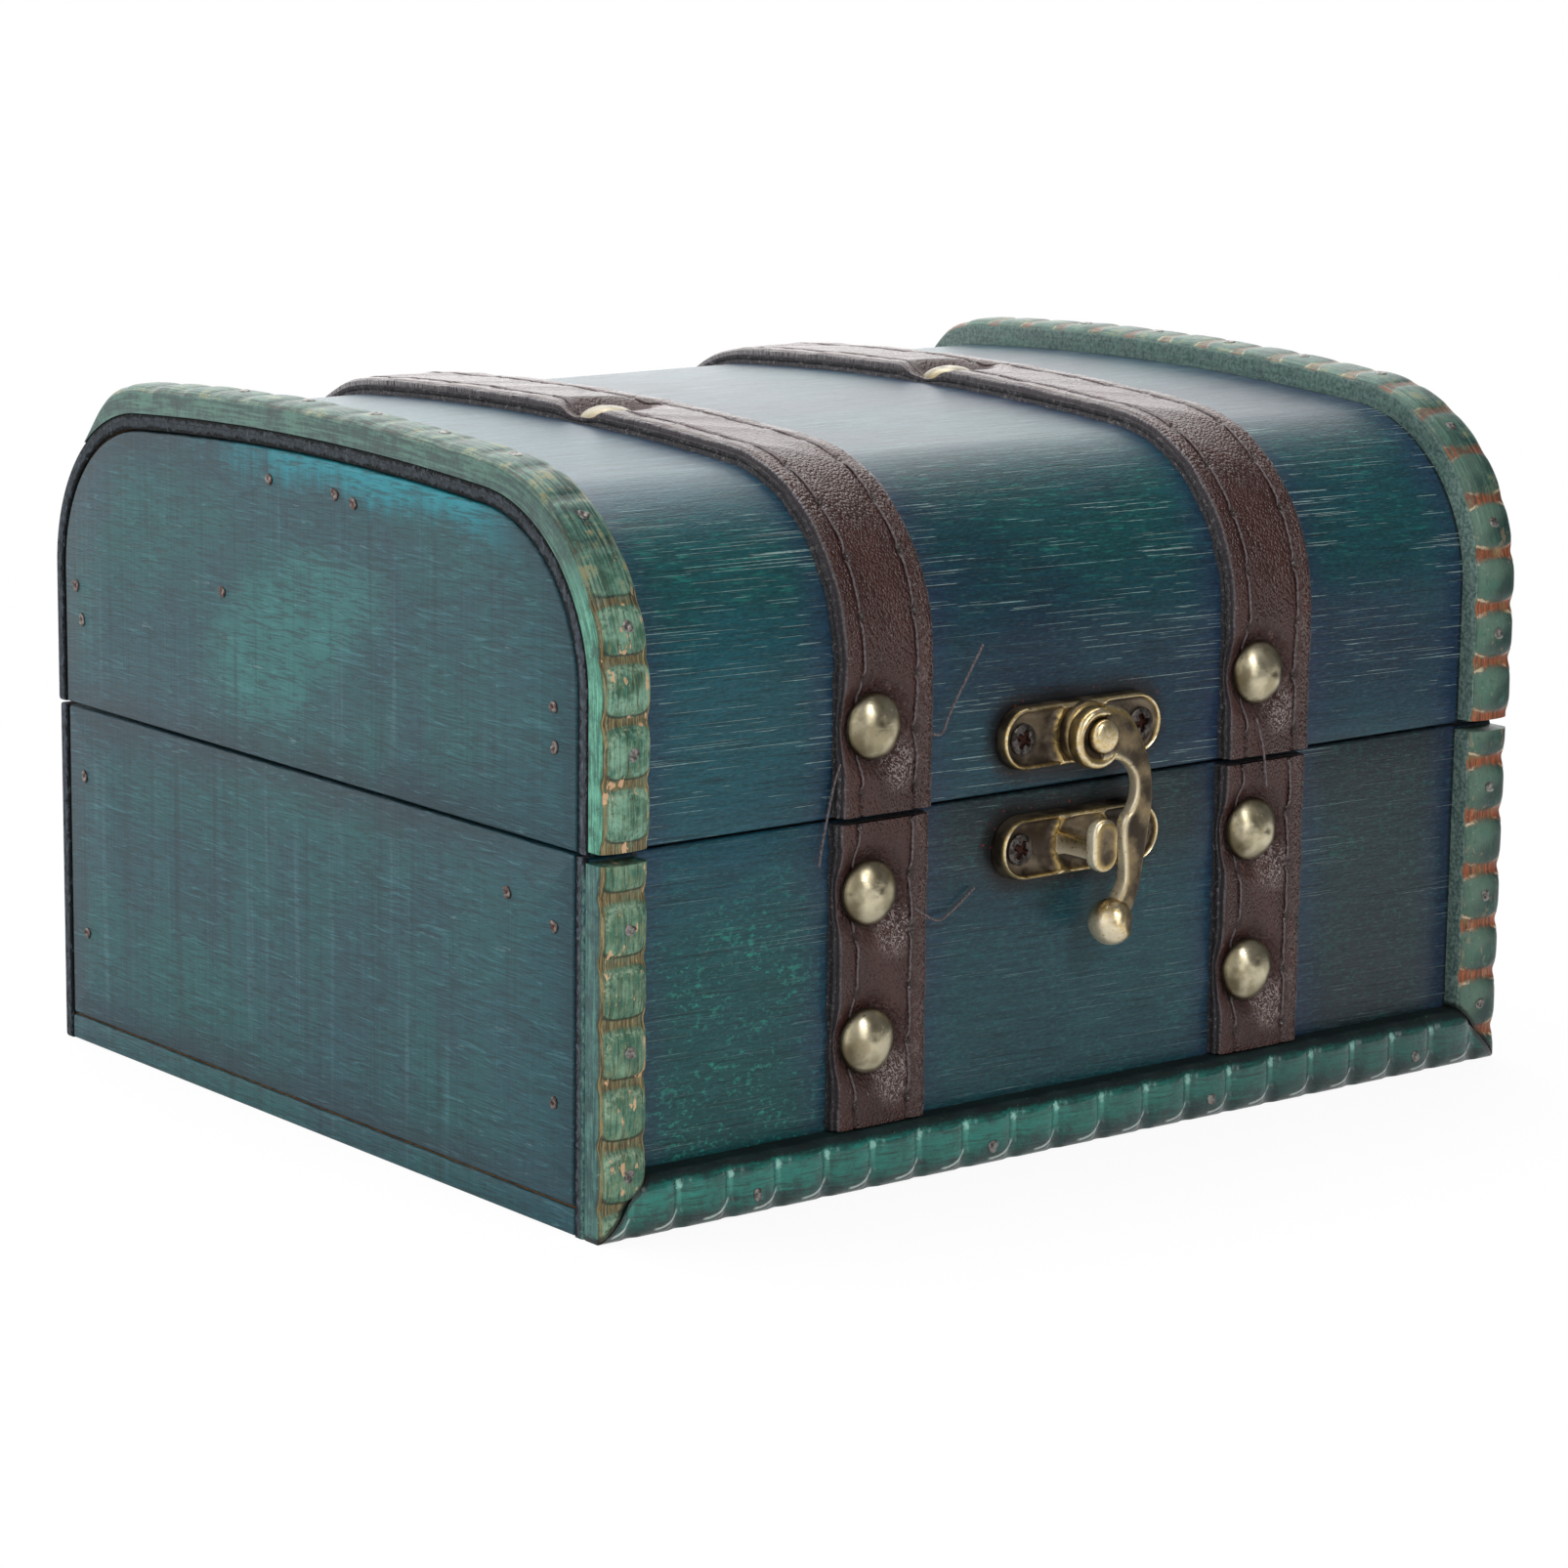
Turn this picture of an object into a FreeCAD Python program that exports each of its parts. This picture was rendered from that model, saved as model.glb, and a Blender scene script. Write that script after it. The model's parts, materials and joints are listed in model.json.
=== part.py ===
import FreeCAD, Part
import math
import operator
import os

import Sketcher
from FreeCAD import Placement, Rotation, Vector

# Treasure chest box. Frame: origin on the floor under the middle of the base, +X along the front to the
# right, +Y to the back, +Z up, millimetres. The lid turns on two hinges at the back, and a hook that hangs
# on the lid's front swings behind a post on the base.

doc = FreeCAD.newDocument("treasure_chest")
sheet = doc.addObject("Spreadsheet::Sheet", "Sizes")

DRIVING_SIZES = (
    # Body
    ("body_length", 180.0, "end face to end face"),
    ("body_depth", 143.8, "base, front face to back face"),
    ("split_height", 55.2, "top edge of the base above the floor"),
    ("crown_height", 106.3, "top of the lid sheet at its middle"),
    ("split_gap", 0.5, "gap between the base and the closed lid"),
    ("lid_overhang", 0.5, "lid past the base, front and back"),
    ("wall", 2.5, "thickness of the front, back and lid sheets"),
    ("bottom_thickness", 4.0, "bottom board"),
    ("board_thickness", 6.0, "inner end boards"),
    ("skin_thickness", 3.0, "outer end panels"),
    ("skin_gap", 0.3, "gap round an outer end panel"),
    ("corner_radius", 27.0, "bend of the lid sheet at front and back"),
    ("crown_radius", 650.0, "slight arch of the lid's top"),
    # Beaded trims
    ("trim_width", 9.0, "width of a trim on its sheet"),
    ("trim_height", 4.4, "trim out of its sheet, at a bead's crest"),
    ("trim_round", 1.6, "rounding of a trim's long edges"),
    ("trim_gap", 0.6, "trim's end short of the sheet's edge at the split"),
    ("bead_pitch", 8.9, "bead to bead"),
    ("bead_start", 5.3, "first valley from the floor or the left end"),
    ("lid_bead_start", 10.2, "first valley above the lid's lower edge"),
    ("valley_radius", 1.8, "round bottom of a valley between beads"),
    ("valley_depth", 1.1, "valley below the crest"),
    ("tail_wrap", 17.0, "lid trim round the back corner"),
    ("tail_taper", 12.0, "length over which the lid trim thins out"),
    # Straps
    ("strap_width", 16.5, "width of a strap"),
    ("strap_face", 1.1, "upper leather layer"),
    ("strap_backing", 1.5, "lower leather layer"),
    ("strap_inset", 52.0, "middle of a strap from the chest's end"),
    ("strap_gap", 0.3, "strap's end short of what it runs up to"),
    ("strap_back_lift", 10.0, "strap's back end above the lid's lower edge"),
    # Tacks
    ("tack_radius", 5.0, "head of a tack"),
    ("tack_dome", 2.8, "height of a tack's head"),
    ("tack_shank", 0.7, "radius of a tack's shank"),
    ("tack_grip", 2.0, "tack's shank in the sheet"),
    ("tack_sink", 1.0, "tack's head pressed into its strap"),
    ("tack_dent", 0.1, "dent in a strap round its tack's head"),
    ("tack_offset", 2.5, "tack to the left of its strap's middle"),
    ("lid_tack_rise", 13.3, "front tack above the lid's lower edge"),
    ("top_tack_setback", 38.0, "left strap's top tack behind the front bend"),
    ("top_tack_stagger", 9.5, "right strap's top tack behind the left one"),
    ("back_tack_rise", 8.0, "back tack above the strap's back end"),
    ("upper_tack_drop", 10.9, "upper base tack below the split"),
    ("lower_tack_drop", 33.1, "lower base tack below the split"),
    # Brads
    ("brad_radius", 0.6, "brad"),
    ("brad_proud", 0.1, "brad's end out of the wood"),
    ("trim_brad_length", 11.5, "brads in the trims"),
    ("skin_brad_length", 7.0, "brads in the end panels"),
    ("trim_brad_step", 17.8, "brads apart along an upright trim"),
    ("bottom_brad_step", 44.5, "brads apart along the bottom trim"),
    ("bottom_brad_inset", 1.0, "bottom trim's brads below the board's top"),
    ("skin_brad_inset", 7.5, "end panel's brads from its front, back and top"),
    ("skin_brad_low", 18.4, "base end panel's lower brads above the floor"),
    ("skin_brad_high", 44.2, "base end panel's upper brads above the floor"),
    ("skin_brad_rise", 14.0, "lid end panel's side brads above its lower edge"),
    ("skin_brad_spread", 9.0, "end panel's top brads from the middle"),
    # Latch
    ("plate_length", 31.4, "latch plates"),
    ("plate_height", 9.8, "latch plates"),
    ("plate_thickness", 3.0, "latch plates at the rim"),
    ("plate_rim", 0.9, "rim round a plate's dished face"),
    ("plate_dish", 1.1, "depth of a plate's dished face"),
    ("plate_screw_spread", 11.7, "plate screw from the plate's middle"),
    ("screw_radius", 2.4, "head of a plate screw"),
    ("screw_dome", 1.5, "height of a plate screw's head"),
    ("screw_shank", 1.1, "radius of a plate screw's shank"),
    ("screw_grip", 2.1, "screw's shank in the sheet"),
    ("pivot_rise", 8.0, "hook's pivot above the lid's lower edge"),
    ("boss_radius", 4.6, "boss under the hook's eye"),
    ("boss_height", 4.4, "boss out of the lid"),
    ("hook_gap", 0.3, "hook's eye from the boss and the rivet's head"),
    ("hook_thickness", 2.6, "hook's arm and eye"),
    ("eye_radius", 4.7, "hook's eye"),
    ("rivet_radius", 1.6, "rivet's shank"),
    ("rivet_clearance", 0.05, "hook's eye round the rivet"),
    ("rivet_head", 2.5, "radius of the rivet's head"),
    ("rivet_dome", 1.3, "height of the rivet's head"),
    ("hook_reach", 11.0, "arm's outer edge to the right of the pivot"),
    ("hook_bend", 19.0, "radius of the arm's outer bend"),
    ("hook_bend_drop", 14.6, "end of the bend below the pivot"),
    ("hook_throat", 7.1, "radius of the arm's inner bend"),
    ("hook_cusp", 4.6, "arm's inner cusp to the right of the pivot"),
    ("neck_drop", 22.0, "neck below the pivot"),
    ("neck_width", 3.6, "width of the neck"),
    ("ball_drop", 28.9, "ball's middle below the pivot"),
    ("ball_side", 3.4, "ball's middle to the right of the pivot"),
    ("ball_radius", 3.8, "ball end of the hook"),
    ("ball_out", 0.3, "ball's middle in front of the arm's middle"),
    ("catch_drop", 8.2, "catch plate's middle below the split"),
    ("post_side", 3.6, "catch post to the left of the plate's middle"),
    ("post_radius", 1.7, "catch post"),
    ("post_reach", 13.2, "catch post out of the base"),
    ("tab_width", 4.4, "head of the catch post"),
    ("tab_height", 8.0, "head of the catch post"),
    ("tab_thickness", 1.9, "head of the catch post"),
    # Hinges
    ("hinge_inset", 28.0, "middle of a hinge from the chest's end"),
    ("hinge_width", 22.0, "hinge along the split"),
    ("leaf_height", 11.0, "hinge leaf from the pin"),
    ("leaf_thickness", 0.8, "hinge leaf"),
    ("knuckle_radius", 1.6, "hinge knuckles"),
    ("knuckle_gap", 0.2, "between one leaf's knuckles and the other leaf"),
    ("hinge_clearance", 0.2, "knuckles clear of the lid's back face"),
    ("pin_radius", 0.8, "hinge pin"),
    ("pin_clearance", 0.05, "lid leaf's knuckle round the pin"),
    ("pin_proud", 0.4, "hinge pin past the knuckles"),
    ("hinge_screw_spread", 6.5, "hinge screw from the hinge's middle"),
    ("hinge_screw_drop", 6.6, "hinge screw from the pin"),
    ("hinge_screw_radius", 1.7, "head of a hinge screw"),
    ("hinge_screw_dome", 0.8, "height of a hinge screw's head"),
    ("hinge_screw_shank", 0.8, "radius of a hinge screw's shank"),
)

OPERATIONS = {"+": operator.add, "-": operator.sub, "*": operator.mul, "/": operator.truediv}


class Size:
    """A length with its value and the expression on the sheet that gives it."""

    def __init__(self, text, value):
        self.text = text
        self.value = value

    def joined(self, sign, other, swapped=False):
        left, right = (as_size(other), self) if swapped else (self, as_size(other))
        value = OPERATIONS[sign](left.value, right.value)
        return Size(f"({left.text} {sign} {right.text})", value)

    def __add__(self, other):
        return self.joined("+", other)

    def __radd__(self, other):
        return self.joined("+", other, swapped=True)

    def __sub__(self, other):
        return self.joined("-", other)

    def __rsub__(self, other):
        return self.joined("-", other, swapped=True)

    def __mul__(self, other):
        return self.joined("*", other)

    def __rmul__(self, other):
        return self.joined("*", other, swapped=True)

    def __truediv__(self, other):
        return self.joined("/", other)

    def __neg__(self):
        return self.joined("-", 0, swapped=True)


def as_size(number):
    """A size as it is, or a plain number as a size."""
    return number if isinstance(number, Size) else Size(f"({number})", number)


class Sizes:
    """The driving dimensions by name, written to the sheet once."""

    def __init__(self, rows):
        for row, (alias, value, meaning) in enumerate(rows, 1):
            sheet.set(f"A{row}", meaning)
            sheet.set(f"B{row}", str(value))
            sheet.setAlias(f"B{row}", alias)
            setattr(self, alias, Size(f"{sheet.Name}.{alias}", value))


S = Sizes(DRIVING_SIZES)
doc.recompute()

# Places that several pieces share

half_length = S.body_length / 2
base_face = S.body_depth / 2
lid_face = base_face + S.lid_overhang
lid_bottom = S.split_height + S.split_gap
inner_depth = S.body_depth - 2 * S.wall
strap_thickness = S.strap_backing + S.strap_face
pivot_height = lid_bottom + S.pivot_rise
catch_height = S.split_height - S.catch_drop
strap_center = half_length - S.strap_inset
hinge_center = half_length - S.hinge_inset
hinge_y = lid_face + S.hinge_clearance + S.knuckle_radius
hinge_z = S.split_height + S.split_gap / 2
dish_seat = S.plate_thickness - S.plate_dish
hook_back = S.boss_height + S.hook_gap
SIDES = (("left", -1), ("right", 1))
TO_FRONT = Vector(0, -1, 0)
TO_BACK = Vector(0, 1, 0)
ROOT_SHARE = 0.65  # how far out in the hook's eye its arm starts, as a share of the eye's radius
END_SHARE = 0.8  # how far out in the hook's ball its arm ends, as a share of the ball's radius
TOUCHING = 1e-6
PLACES = ("Placement.Base.x", "Placement.Base.y", "Placement.Base.z")

pieces = {}


def piece(name, item):
    """Names a finished sub-part."""
    item.Label = name
    pieces[name] = item
    return item


def bind(item, names, sizes):
    """Ties an object's properties to sizes."""
    for name, size in zip(names, sizes):
        item.setExpression(name, as_size(size).text)


# Solids


def block(name, low, sizes):
    """A box from its low corner and its length, width and height."""
    box = doc.addObject("Part::Box", name)
    bind(box, ("Length", "Width", "Height"), sizes)
    bind(box, PLACES, low)
    return box


def rod(name, base, direction, radius, length):
    """A round bar from the middle of its base along a direction."""
    bar = doc.addObject("Part::Cylinder", name)
    bar.Placement = Placement(Vector(), Rotation(Vector(0, 0, 1), direction))
    bind(bar, ("Radius", "Height"), (radius, length))
    bind(bar, PLACES, base)
    return bar


def joined(name, *items):
    """Several solids of one piece made one."""
    whole = doc.addObject("Part::MultiFuse", name)
    whole.Shapes = list(items)
    return whole


def cut(name, blank, *tools):
    """A blank with every tool taken away."""
    result = doc.addObject("Part::Cut", name)
    result.Base = blank
    result.Tool = tools[0]
    if len(tools) > 1:
        result.Tool = doc.addObject("Part::Compound", f"{name}_tools")
        result.Tool.Links = list(tools)
    return result


def placed(name, shapes):
    """Separate solids kept as one object."""
    group = doc.addObject("Part::Feature", name)
    group.Shape = Part.makeCompound(shapes)
    return group


def copies(name, master, places):
    """The master's solid again at every place."""
    return placed(name, [master.Shape.transformed(place.toMatrix(), copy=True) for place in places])


def bores(name, places, radius, depth):
    """Round holes that start at every place and go in against its outward axis."""
    hole = Part.makeCylinder(radius.value, depth.value, Vector(0, 0, -depth.value))
    return placed(name, [hole.transformed(place.toMatrix(), copy=True) for place in places])


def outward(x, y, z, direction):
    """A place on a face, with its axis along the outward direction."""
    return Placement(Vector(x, y, z), Rotation(Vector(0, 0, 1), direction))


# Sketches


def sketch_in(body, plane, distance, across=0, up=0):
    """A sketch parallel to one of the body's own planes."""
    sketch = body.newObject("Sketcher::SketchObject", f"{body.Name}_outline")
    base = next(item for item in body.Origin.OriginFeatures if item.Role == plane)
    sketch.AttachmentSupport = (base, [""])
    sketch.MapMode = "FlatFace"
    moves = [f"AttachmentOffset.Base.{axis}" for axis in "xyz"]
    bind(sketch, moves, (across, up, distance))
    return sketch


def dimension(sketch, size, kind, *ends):
    """A constraint that holds a size of the sheet."""
    size = as_size(size)
    index = sketch.addConstraint(Sketcher.Constraint(kind, *ends, size.value))
    sketch.setExpression(f"Constraints[{index}]", size.text)


def arc_between(start, end, radius):
    """The shorter arc that runs anticlockwise from start to end."""
    middle = (start + end) / 2
    chord = end - start
    height = math.sqrt(radius**2 - (chord.Length / 2) ** 2)
    center = middle + Vector(-chord.y, chord.x, 0).normalize() * height
    angles = [math.atan2((point - center).y, (point - center).x) for point in (start, end)]
    return Part.ArcOfCircle(Part.Circle(center, Vector(0, 0, 1), radius), *angles)


def outline(sketch, corners, arcs=None):
    """A closed outline through corners. arcs gives the radius of each round side by its number: over zero
    where the side runs anticlockwise from its corner to the next, under zero where it runs clockwise."""
    arcs = arcs or {}
    points = [Vector(as_size(across).value, as_size(up).value, 0) for across, up in corners]
    ends = []
    for side, (start, end) in enumerate(zip(points, points[1:] + points[:1])):
        radius = as_size(arcs.get(side, 0)).value
        if radius == 0:
            sketch.addGeometry(Part.LineSegment(start, end), False)
        elif radius > 0:
            sketch.addGeometry(arc_between(start, end, radius), False)
        else:
            sketch.addGeometry(arc_between(end, start, -radius), False)
        ends.append((2, 1) if radius < 0 else (1, 2))
    for side, (across, up) in enumerate(corners):
        start = ends[side][0]
        sketch.addConstraint(Sketcher.Constraint("Coincident", side - 1 if side else len(points) - 1,
                                                 ends[side - 1][1], side, start))
        dimension(sketch, across, "DistanceX", -1, 1, side, start)
        dimension(sketch, up, "DistanceY", -1, 1, side, start)
    for side, radius in arcs.items():
        dimension(sketch, radius if as_size(radius).value > 0 else -radius, "Radius", side)


def padded(name, plane, distance, thickness, corners, arcs=None, across=0, up=0):
    """A body that is one outline given a thickness."""
    body = doc.addObject("PartDesign::Body", name)
    sketch = sketch_in(body, plane, distance, across, up)
    outline(sketch, corners, arcs)
    return thickened(body, sketch, thickness)


def thickened(body, sketch, thickness):
    """A body's sketch given a thickness."""
    pad = body.newObject("PartDesign::Pad", f"{body.Name}_pad")
    pad.Profile = sketch
    bind(pad, ("Length",), (thickness,))
    doc.recompute()
    return body


def rounded(body, radius, chosen):
    """A body with its chosen edges rounded."""
    solid = body.Tip
    edges = [f"Edge{number}" for number, edge in enumerate(solid.Shape.Edges, 1) if chosen(edge)]
    fillet = body.newObject("PartDesign::Fillet", f"{body.Name}_round")
    fillet.Base = (solid, edges)
    bind(fillet, ("Radius",), (radius,))
    return body


def turned(name, corners, arcs=None):
    """A round body about the Z axis, from half of its section."""
    body = doc.addObject("PartDesign::Body", name)
    sketch = sketch_in(body, "XZ_Plane", 0)
    outline(sketch, corners, arcs)
    revolution = body.newObject("PartDesign::Revolution", f"{name}_turn")
    revolution.Profile = sketch
    revolution.ReferenceAxis = (sketch, ["V_Axis"])
    revolution.Angle = 360
    doc.recompute()
    return body


def dome_radius(across, height):
    """Radius of the dome that has this half width and height."""
    return (across * across + height * height) / (2 * height)


def headed(name, head, dome, shank, length):
    """A fastener with a domed head that sits at height zero and a round shank below it."""
    corners = [(0, -length), (shank, -length), (shank, 0), (head, 0), (0, dome)]
    return turned(name, corners, {3: dome_radius(head, dome)})


# The lid's section: two uprights, two bends and a slightly arched top, the same curve at any offset

bend_y = (lid_face - S.corner_radius).value
crown_z = (S.crown_height - S.crown_radius).value
bend_z = crown_z + math.sqrt((S.crown_radius - S.corner_radius).value ** 2 - bend_y**2)
bend_angle = math.atan2(bend_z - crown_z, bend_y)


def lid_curve(sketch, offset, bottom):
    """The lid's section moved out by offset, as five tangent sides from the back's foot to the front's."""
    first = sketch.GeometryCount
    back, bend, crown, front_bend, front = range(first, first + 5)
    face = lid_face + offset
    bend_radius = S.corner_radius + offset
    crown_radius = S.crown_radius + offset
    foot = as_size(bottom).value
    axis = Vector(0, 0, 1)
    bends = [Part.Circle(Vector(y, bend_z, 0), axis, bend_radius.value) for y in (bend_y, -bend_y)]
    top = Part.Circle(Vector(0, crown_z, 0), axis, crown_radius.value)
    over = math.pi - bend_angle
    sketch.addGeometry(Part.LineSegment(Vector(face.value, foot, 0), Vector(face.value, bend_z, 0)), False)
    sketch.addGeometry(Part.ArcOfCircle(bends[0], 0, bend_angle), False)
    sketch.addGeometry(Part.ArcOfCircle(top, bend_angle, over), False)
    sketch.addGeometry(Part.ArcOfCircle(bends[1], over, math.pi), False)
    sketch.addGeometry(Part.LineSegment(Vector(-face.value, bend_z, 0), Vector(-face.value, foot, 0)), False)
    for side in (back, bend, crown, front_bend):
        sketch.addConstraint(Sketcher.Constraint("Tangent", side, 2, side + 1, 1))
    for side in (back, front):
        sketch.addConstraint(Sketcher.Constraint("Vertical", side))
    sketch.addConstraint(Sketcher.Constraint("Symmetric", back, 1, front, 2, -2))
    sketch.addConstraint(Sketcher.Constraint("Equal", bend, front_bend))
    sketch.addConstraint(Sketcher.Constraint("PointOnObject", crown, 3, -2))
    dimension(sketch, bend_radius, "Radius", bend)
    dimension(sketch, crown_radius, "Radius", crown)
    dimension(sketch, face, "DistanceX", -1, 1, back, 1)
    dimension(sketch, bottom, "DistanceY", -1, 1, back, 1)
    dimension(sketch, S.crown_radius - S.crown_height, "DistanceY", crown, 3, -1, 1)
    return first


def lid_line(sketch, start, end):
    """A straight side between two ends that the sketch already has, each given as its side and end."""
    points = [sketch.getPoint(*place) for place in (start, end)]
    side = sketch.addGeometry(Part.LineSegment(*points), False)
    sketch.addConstraint(Sketcher.Constraint("Coincident", side, 1, *start))
    sketch.addConstraint(Sketcher.Constraint("Coincident", side, 2, *end))


def lid_slab(name, x, thickness, offset):
    """A board with the outline of the lid's section."""
    body = doc.addObject("PartDesign::Body", name)
    sketch = sketch_in(body, "YZ_Plane", x)
    first = lid_curve(sketch, offset, lid_bottom)
    lid_line(sketch, (first + 4, 2), (first, 1))
    return thickened(body, sketch, thickness)


def lid_band(name, x, width, inner, outer, bottom):
    """A sheet bent round the lid's section, between two offsets."""
    body = doc.addObject("PartDesign::Body", name)
    sketch = sketch_in(body, "YZ_Plane", x)
    outside = lid_curve(sketch, outer, bottom)
    inside = lid_curve(sketch, inner, bottom)
    lid_line(sketch, (outside, 1), (inside, 1))
    lid_line(sketch, (outside + 4, 2), (inside + 4, 2))
    return thickened(body, sketch, width)


def lid_place(x, run, rise):
    """A place on the lid, at a run from the front's lower edge along the face that is moved out by rise."""
    upright = bend_z - lid_bottom.value
    if run < upright:
        return outward(x, -lid_face.value - rise, lid_bottom.value + run, TO_FRONT)
    run -= upright
    bend = (S.corner_radius.value + rise, -bend_y, bend_z, 0, bend_angle)
    top = (S.crown_radius.value + rise, 0, crown_z, bend_angle, math.pi - bend_angle)
    back_bend = (S.corner_radius.value + rise, bend_y, bend_z, math.pi - bend_angle, math.pi)
    for radius, center_y, center_z, start, end in (bend, top, back_bend):
        angle = start + run / radius
        if angle <= end:
            break
        run -= radius * (end - start)
    direction = Vector(0, -math.cos(angle), math.sin(angle))
    return outward(x, center_y + radius * direction.y, center_z + radius * direction.z, direction)


def lid_run(rise):
    """Runs along the lid to the end of its front bend and to the end of its top."""
    front = bend_z - lid_bottom.value + (S.corner_radius.value + rise) * bend_angle
    return front, front + (S.crown_radius.value + rise) * (math.pi - 2 * bend_angle)


def steps(start, stop, step):
    """Values from start up to stop."""
    count = int((stop - start) / step) + 1
    return [start + step * number for number in range(count)]


# Masters of the fasteners

tack_seat = strap_thickness - S.tack_sink
tack_length = tack_seat + S.tack_grip
plate_screw_length = dish_seat + S.screw_grip
hinge_screw_length = S.leaf_thickness + S.screw_grip
tack = headed("tack", S.tack_radius, S.tack_dome, S.tack_shank, tack_length)
plate_screw = headed("plate_screw", S.screw_radius, S.screw_dome, S.screw_shank, plate_screw_length)
hinge_screw = headed("hinge_screw", S.hinge_screw_radius, S.hinge_screw_dome, S.hinge_screw_shank,
                     hinge_screw_length)


def brads(name, places, length):
    """Plain brads with their ends a little out of the wood."""
    brad_foot = Vector(0, 0, S.brad_proud.value - length.value)
    brad = Part.makeCylinder(S.brad_radius.value, length.value, brad_foot)
    return placed(name, [brad.transformed(place.toMatrix(), copy=True) for place in places])


# Where the fasteners go

trim_x = half_length - S.trim_width / 2
trim_top = S.split_height - S.trim_gap
base_crest = base_face + S.trim_height
half_pitch = S.bead_pitch.value / 2

upright_runs = steps(S.bead_start.value + half_pitch, trim_top.value - half_pitch, S.trim_brad_step.value)
base_trim_places = [outward(sign * trim_x.value, -base_crest.value, height, TO_FRONT)
                    for _, sign in SIDES for height in upright_runs]
bottom_runs = steps(S.bead_start.value + 5 * half_pitch, S.body_length.value - S.trim_width.value,
                    S.bottom_brad_step.value)
bottom_trim_places = [outward(run - half_length.value, -base_crest.value,
                              (S.bottom_thickness - S.bottom_brad_inset).value, TO_FRONT)
                      for run in bottom_runs]
top_end_run = lid_run(S.trim_height.value)[1]
lid_trim_places = [lid_place(sign * trim_x.value, run, S.trim_height.value) for _, sign in SIDES
                   for run in steps(S.lid_bead_start.value + half_pitch, top_end_run - S.bead_pitch.value,
                                    S.trim_brad_step.value)]
skin_brad_y = base_face - S.skin_brad_inset
base_skin_places = [outward(sign * half_length.value, side * skin_brad_y.value, height.value,
                            Vector(sign, 0, 0))
                    for _, sign in SIDES for side in (-1, 1)
                    for height in (S.skin_brad_low, S.skin_brad_high)]
lid_skin_places = [outward(sign * half_length.value, side * y.value, z.value, Vector(sign, 0, 0))
                   for _, sign in SIDES for side in (-1, 1)
                   for y, z in ((skin_brad_y, lid_bottom + S.skin_brad_rise),
                                (S.skin_brad_spread, S.crown_height - S.skin_brad_inset))]

strap_x = {name: sign * strap_center for name, sign in SIDES}
tack_x = {name: (strap_x[name] - S.tack_offset).value for name, _ in SIDES}
base_tack_y = -(base_face + tack_seat).value
base_tack_places = [outward(tack_x[name], base_tack_y, (S.split_height - drop).value, TO_FRONT)
                    for name, _ in SIDES for drop in (S.upper_tack_drop, S.lower_tack_drop)]
top_tack_run = lid_run(tack_seat.value)[0] + S.top_tack_setback.value
top_tack_runs = {"left": top_tack_run, "right": top_tack_run + S.top_tack_stagger.value}
back_tack_height = lid_bottom + S.strap_back_lift + S.back_tack_rise
lid_tack_places = []
for name, _ in SIDES:
    for run in (S.lid_tack_rise.value, top_tack_runs[name]):
        lid_tack_places.append(lid_place(tack_x[name], run, tack_seat.value))
    back_y = (lid_face + tack_seat).value
    lid_tack_places.append(outward(tack_x[name], back_y, back_tack_height.value, TO_BACK))

hook_screw_places = [outward(sign * S.plate_screw_spread.value, -(lid_face + dish_seat).value,
                             pivot_height.value, TO_FRONT) for _, sign in SIDES]
catch_screw_places = [outward(sign * S.plate_screw_spread.value, -(base_face + dish_seat).value,
                              catch_height.value, TO_FRONT) for _, sign in SIDES]
hinge_screw_x = [(sign * hinge_center + side * S.hinge_screw_spread).value
                 for _, sign in SIDES for side in (-1, 1)]
base_hinge_places = [outward(x, (base_face + S.leaf_thickness).value, (hinge_z - S.hinge_screw_drop).value,
                             TO_BACK) for x in hinge_screw_x]
lid_hinge_places = [outward(x, (lid_face + S.leaf_thickness).value, (hinge_z + S.hinge_screw_drop).value,
                            TO_BACK) for x in hinge_screw_x]

# Fasteners and their holes

piece("base_strap_tacks", copies("base_strap_tacks", tack, base_tack_places))
piece("lid_strap_tacks", copies("lid_strap_tacks", tack, lid_tack_places))
base_tack_bores = bores("base_tack_bores", base_tack_places, S.tack_shank, tack_length)
lid_tack_bores = bores("lid_tack_bores", lid_tack_places, S.tack_shank, tack_length)


def dents(name, places):
    """Round dents in the straps, from each tack's seat outwards."""
    dent = Part.makeCylinder((S.tack_radius + S.tack_dent).value, S.tack_dome.value)
    return placed(name, [dent.transformed(place.toMatrix(), copy=True) for place in places])


base_tack_dents = dents("base_tack_dents", base_tack_places)
lid_tack_dents = dents("lid_tack_dents", lid_tack_places)

piece("hook_plate_screws", copies("hook_plate_screws", plate_screw, hook_screw_places))
piece("catch_plate_screws", copies("catch_plate_screws", plate_screw, catch_screw_places))
hook_screw_bores = bores("hook_screw_bores", hook_screw_places, S.screw_shank, plate_screw_length)
catch_screw_bores = bores("catch_screw_bores", catch_screw_places, S.screw_shank, plate_screw_length)

piece("base_hinge_screws", copies("base_hinge_screws", hinge_screw, base_hinge_places))
piece("lid_hinge_screws", copies("lid_hinge_screws", hinge_screw, lid_hinge_places))
base_hinge_bores = bores("base_hinge_bores", base_hinge_places, S.hinge_screw_shank, hinge_screw_length)
lid_hinge_bores = bores("lid_hinge_bores", lid_hinge_places, S.hinge_screw_shank, hinge_screw_length)

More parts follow.
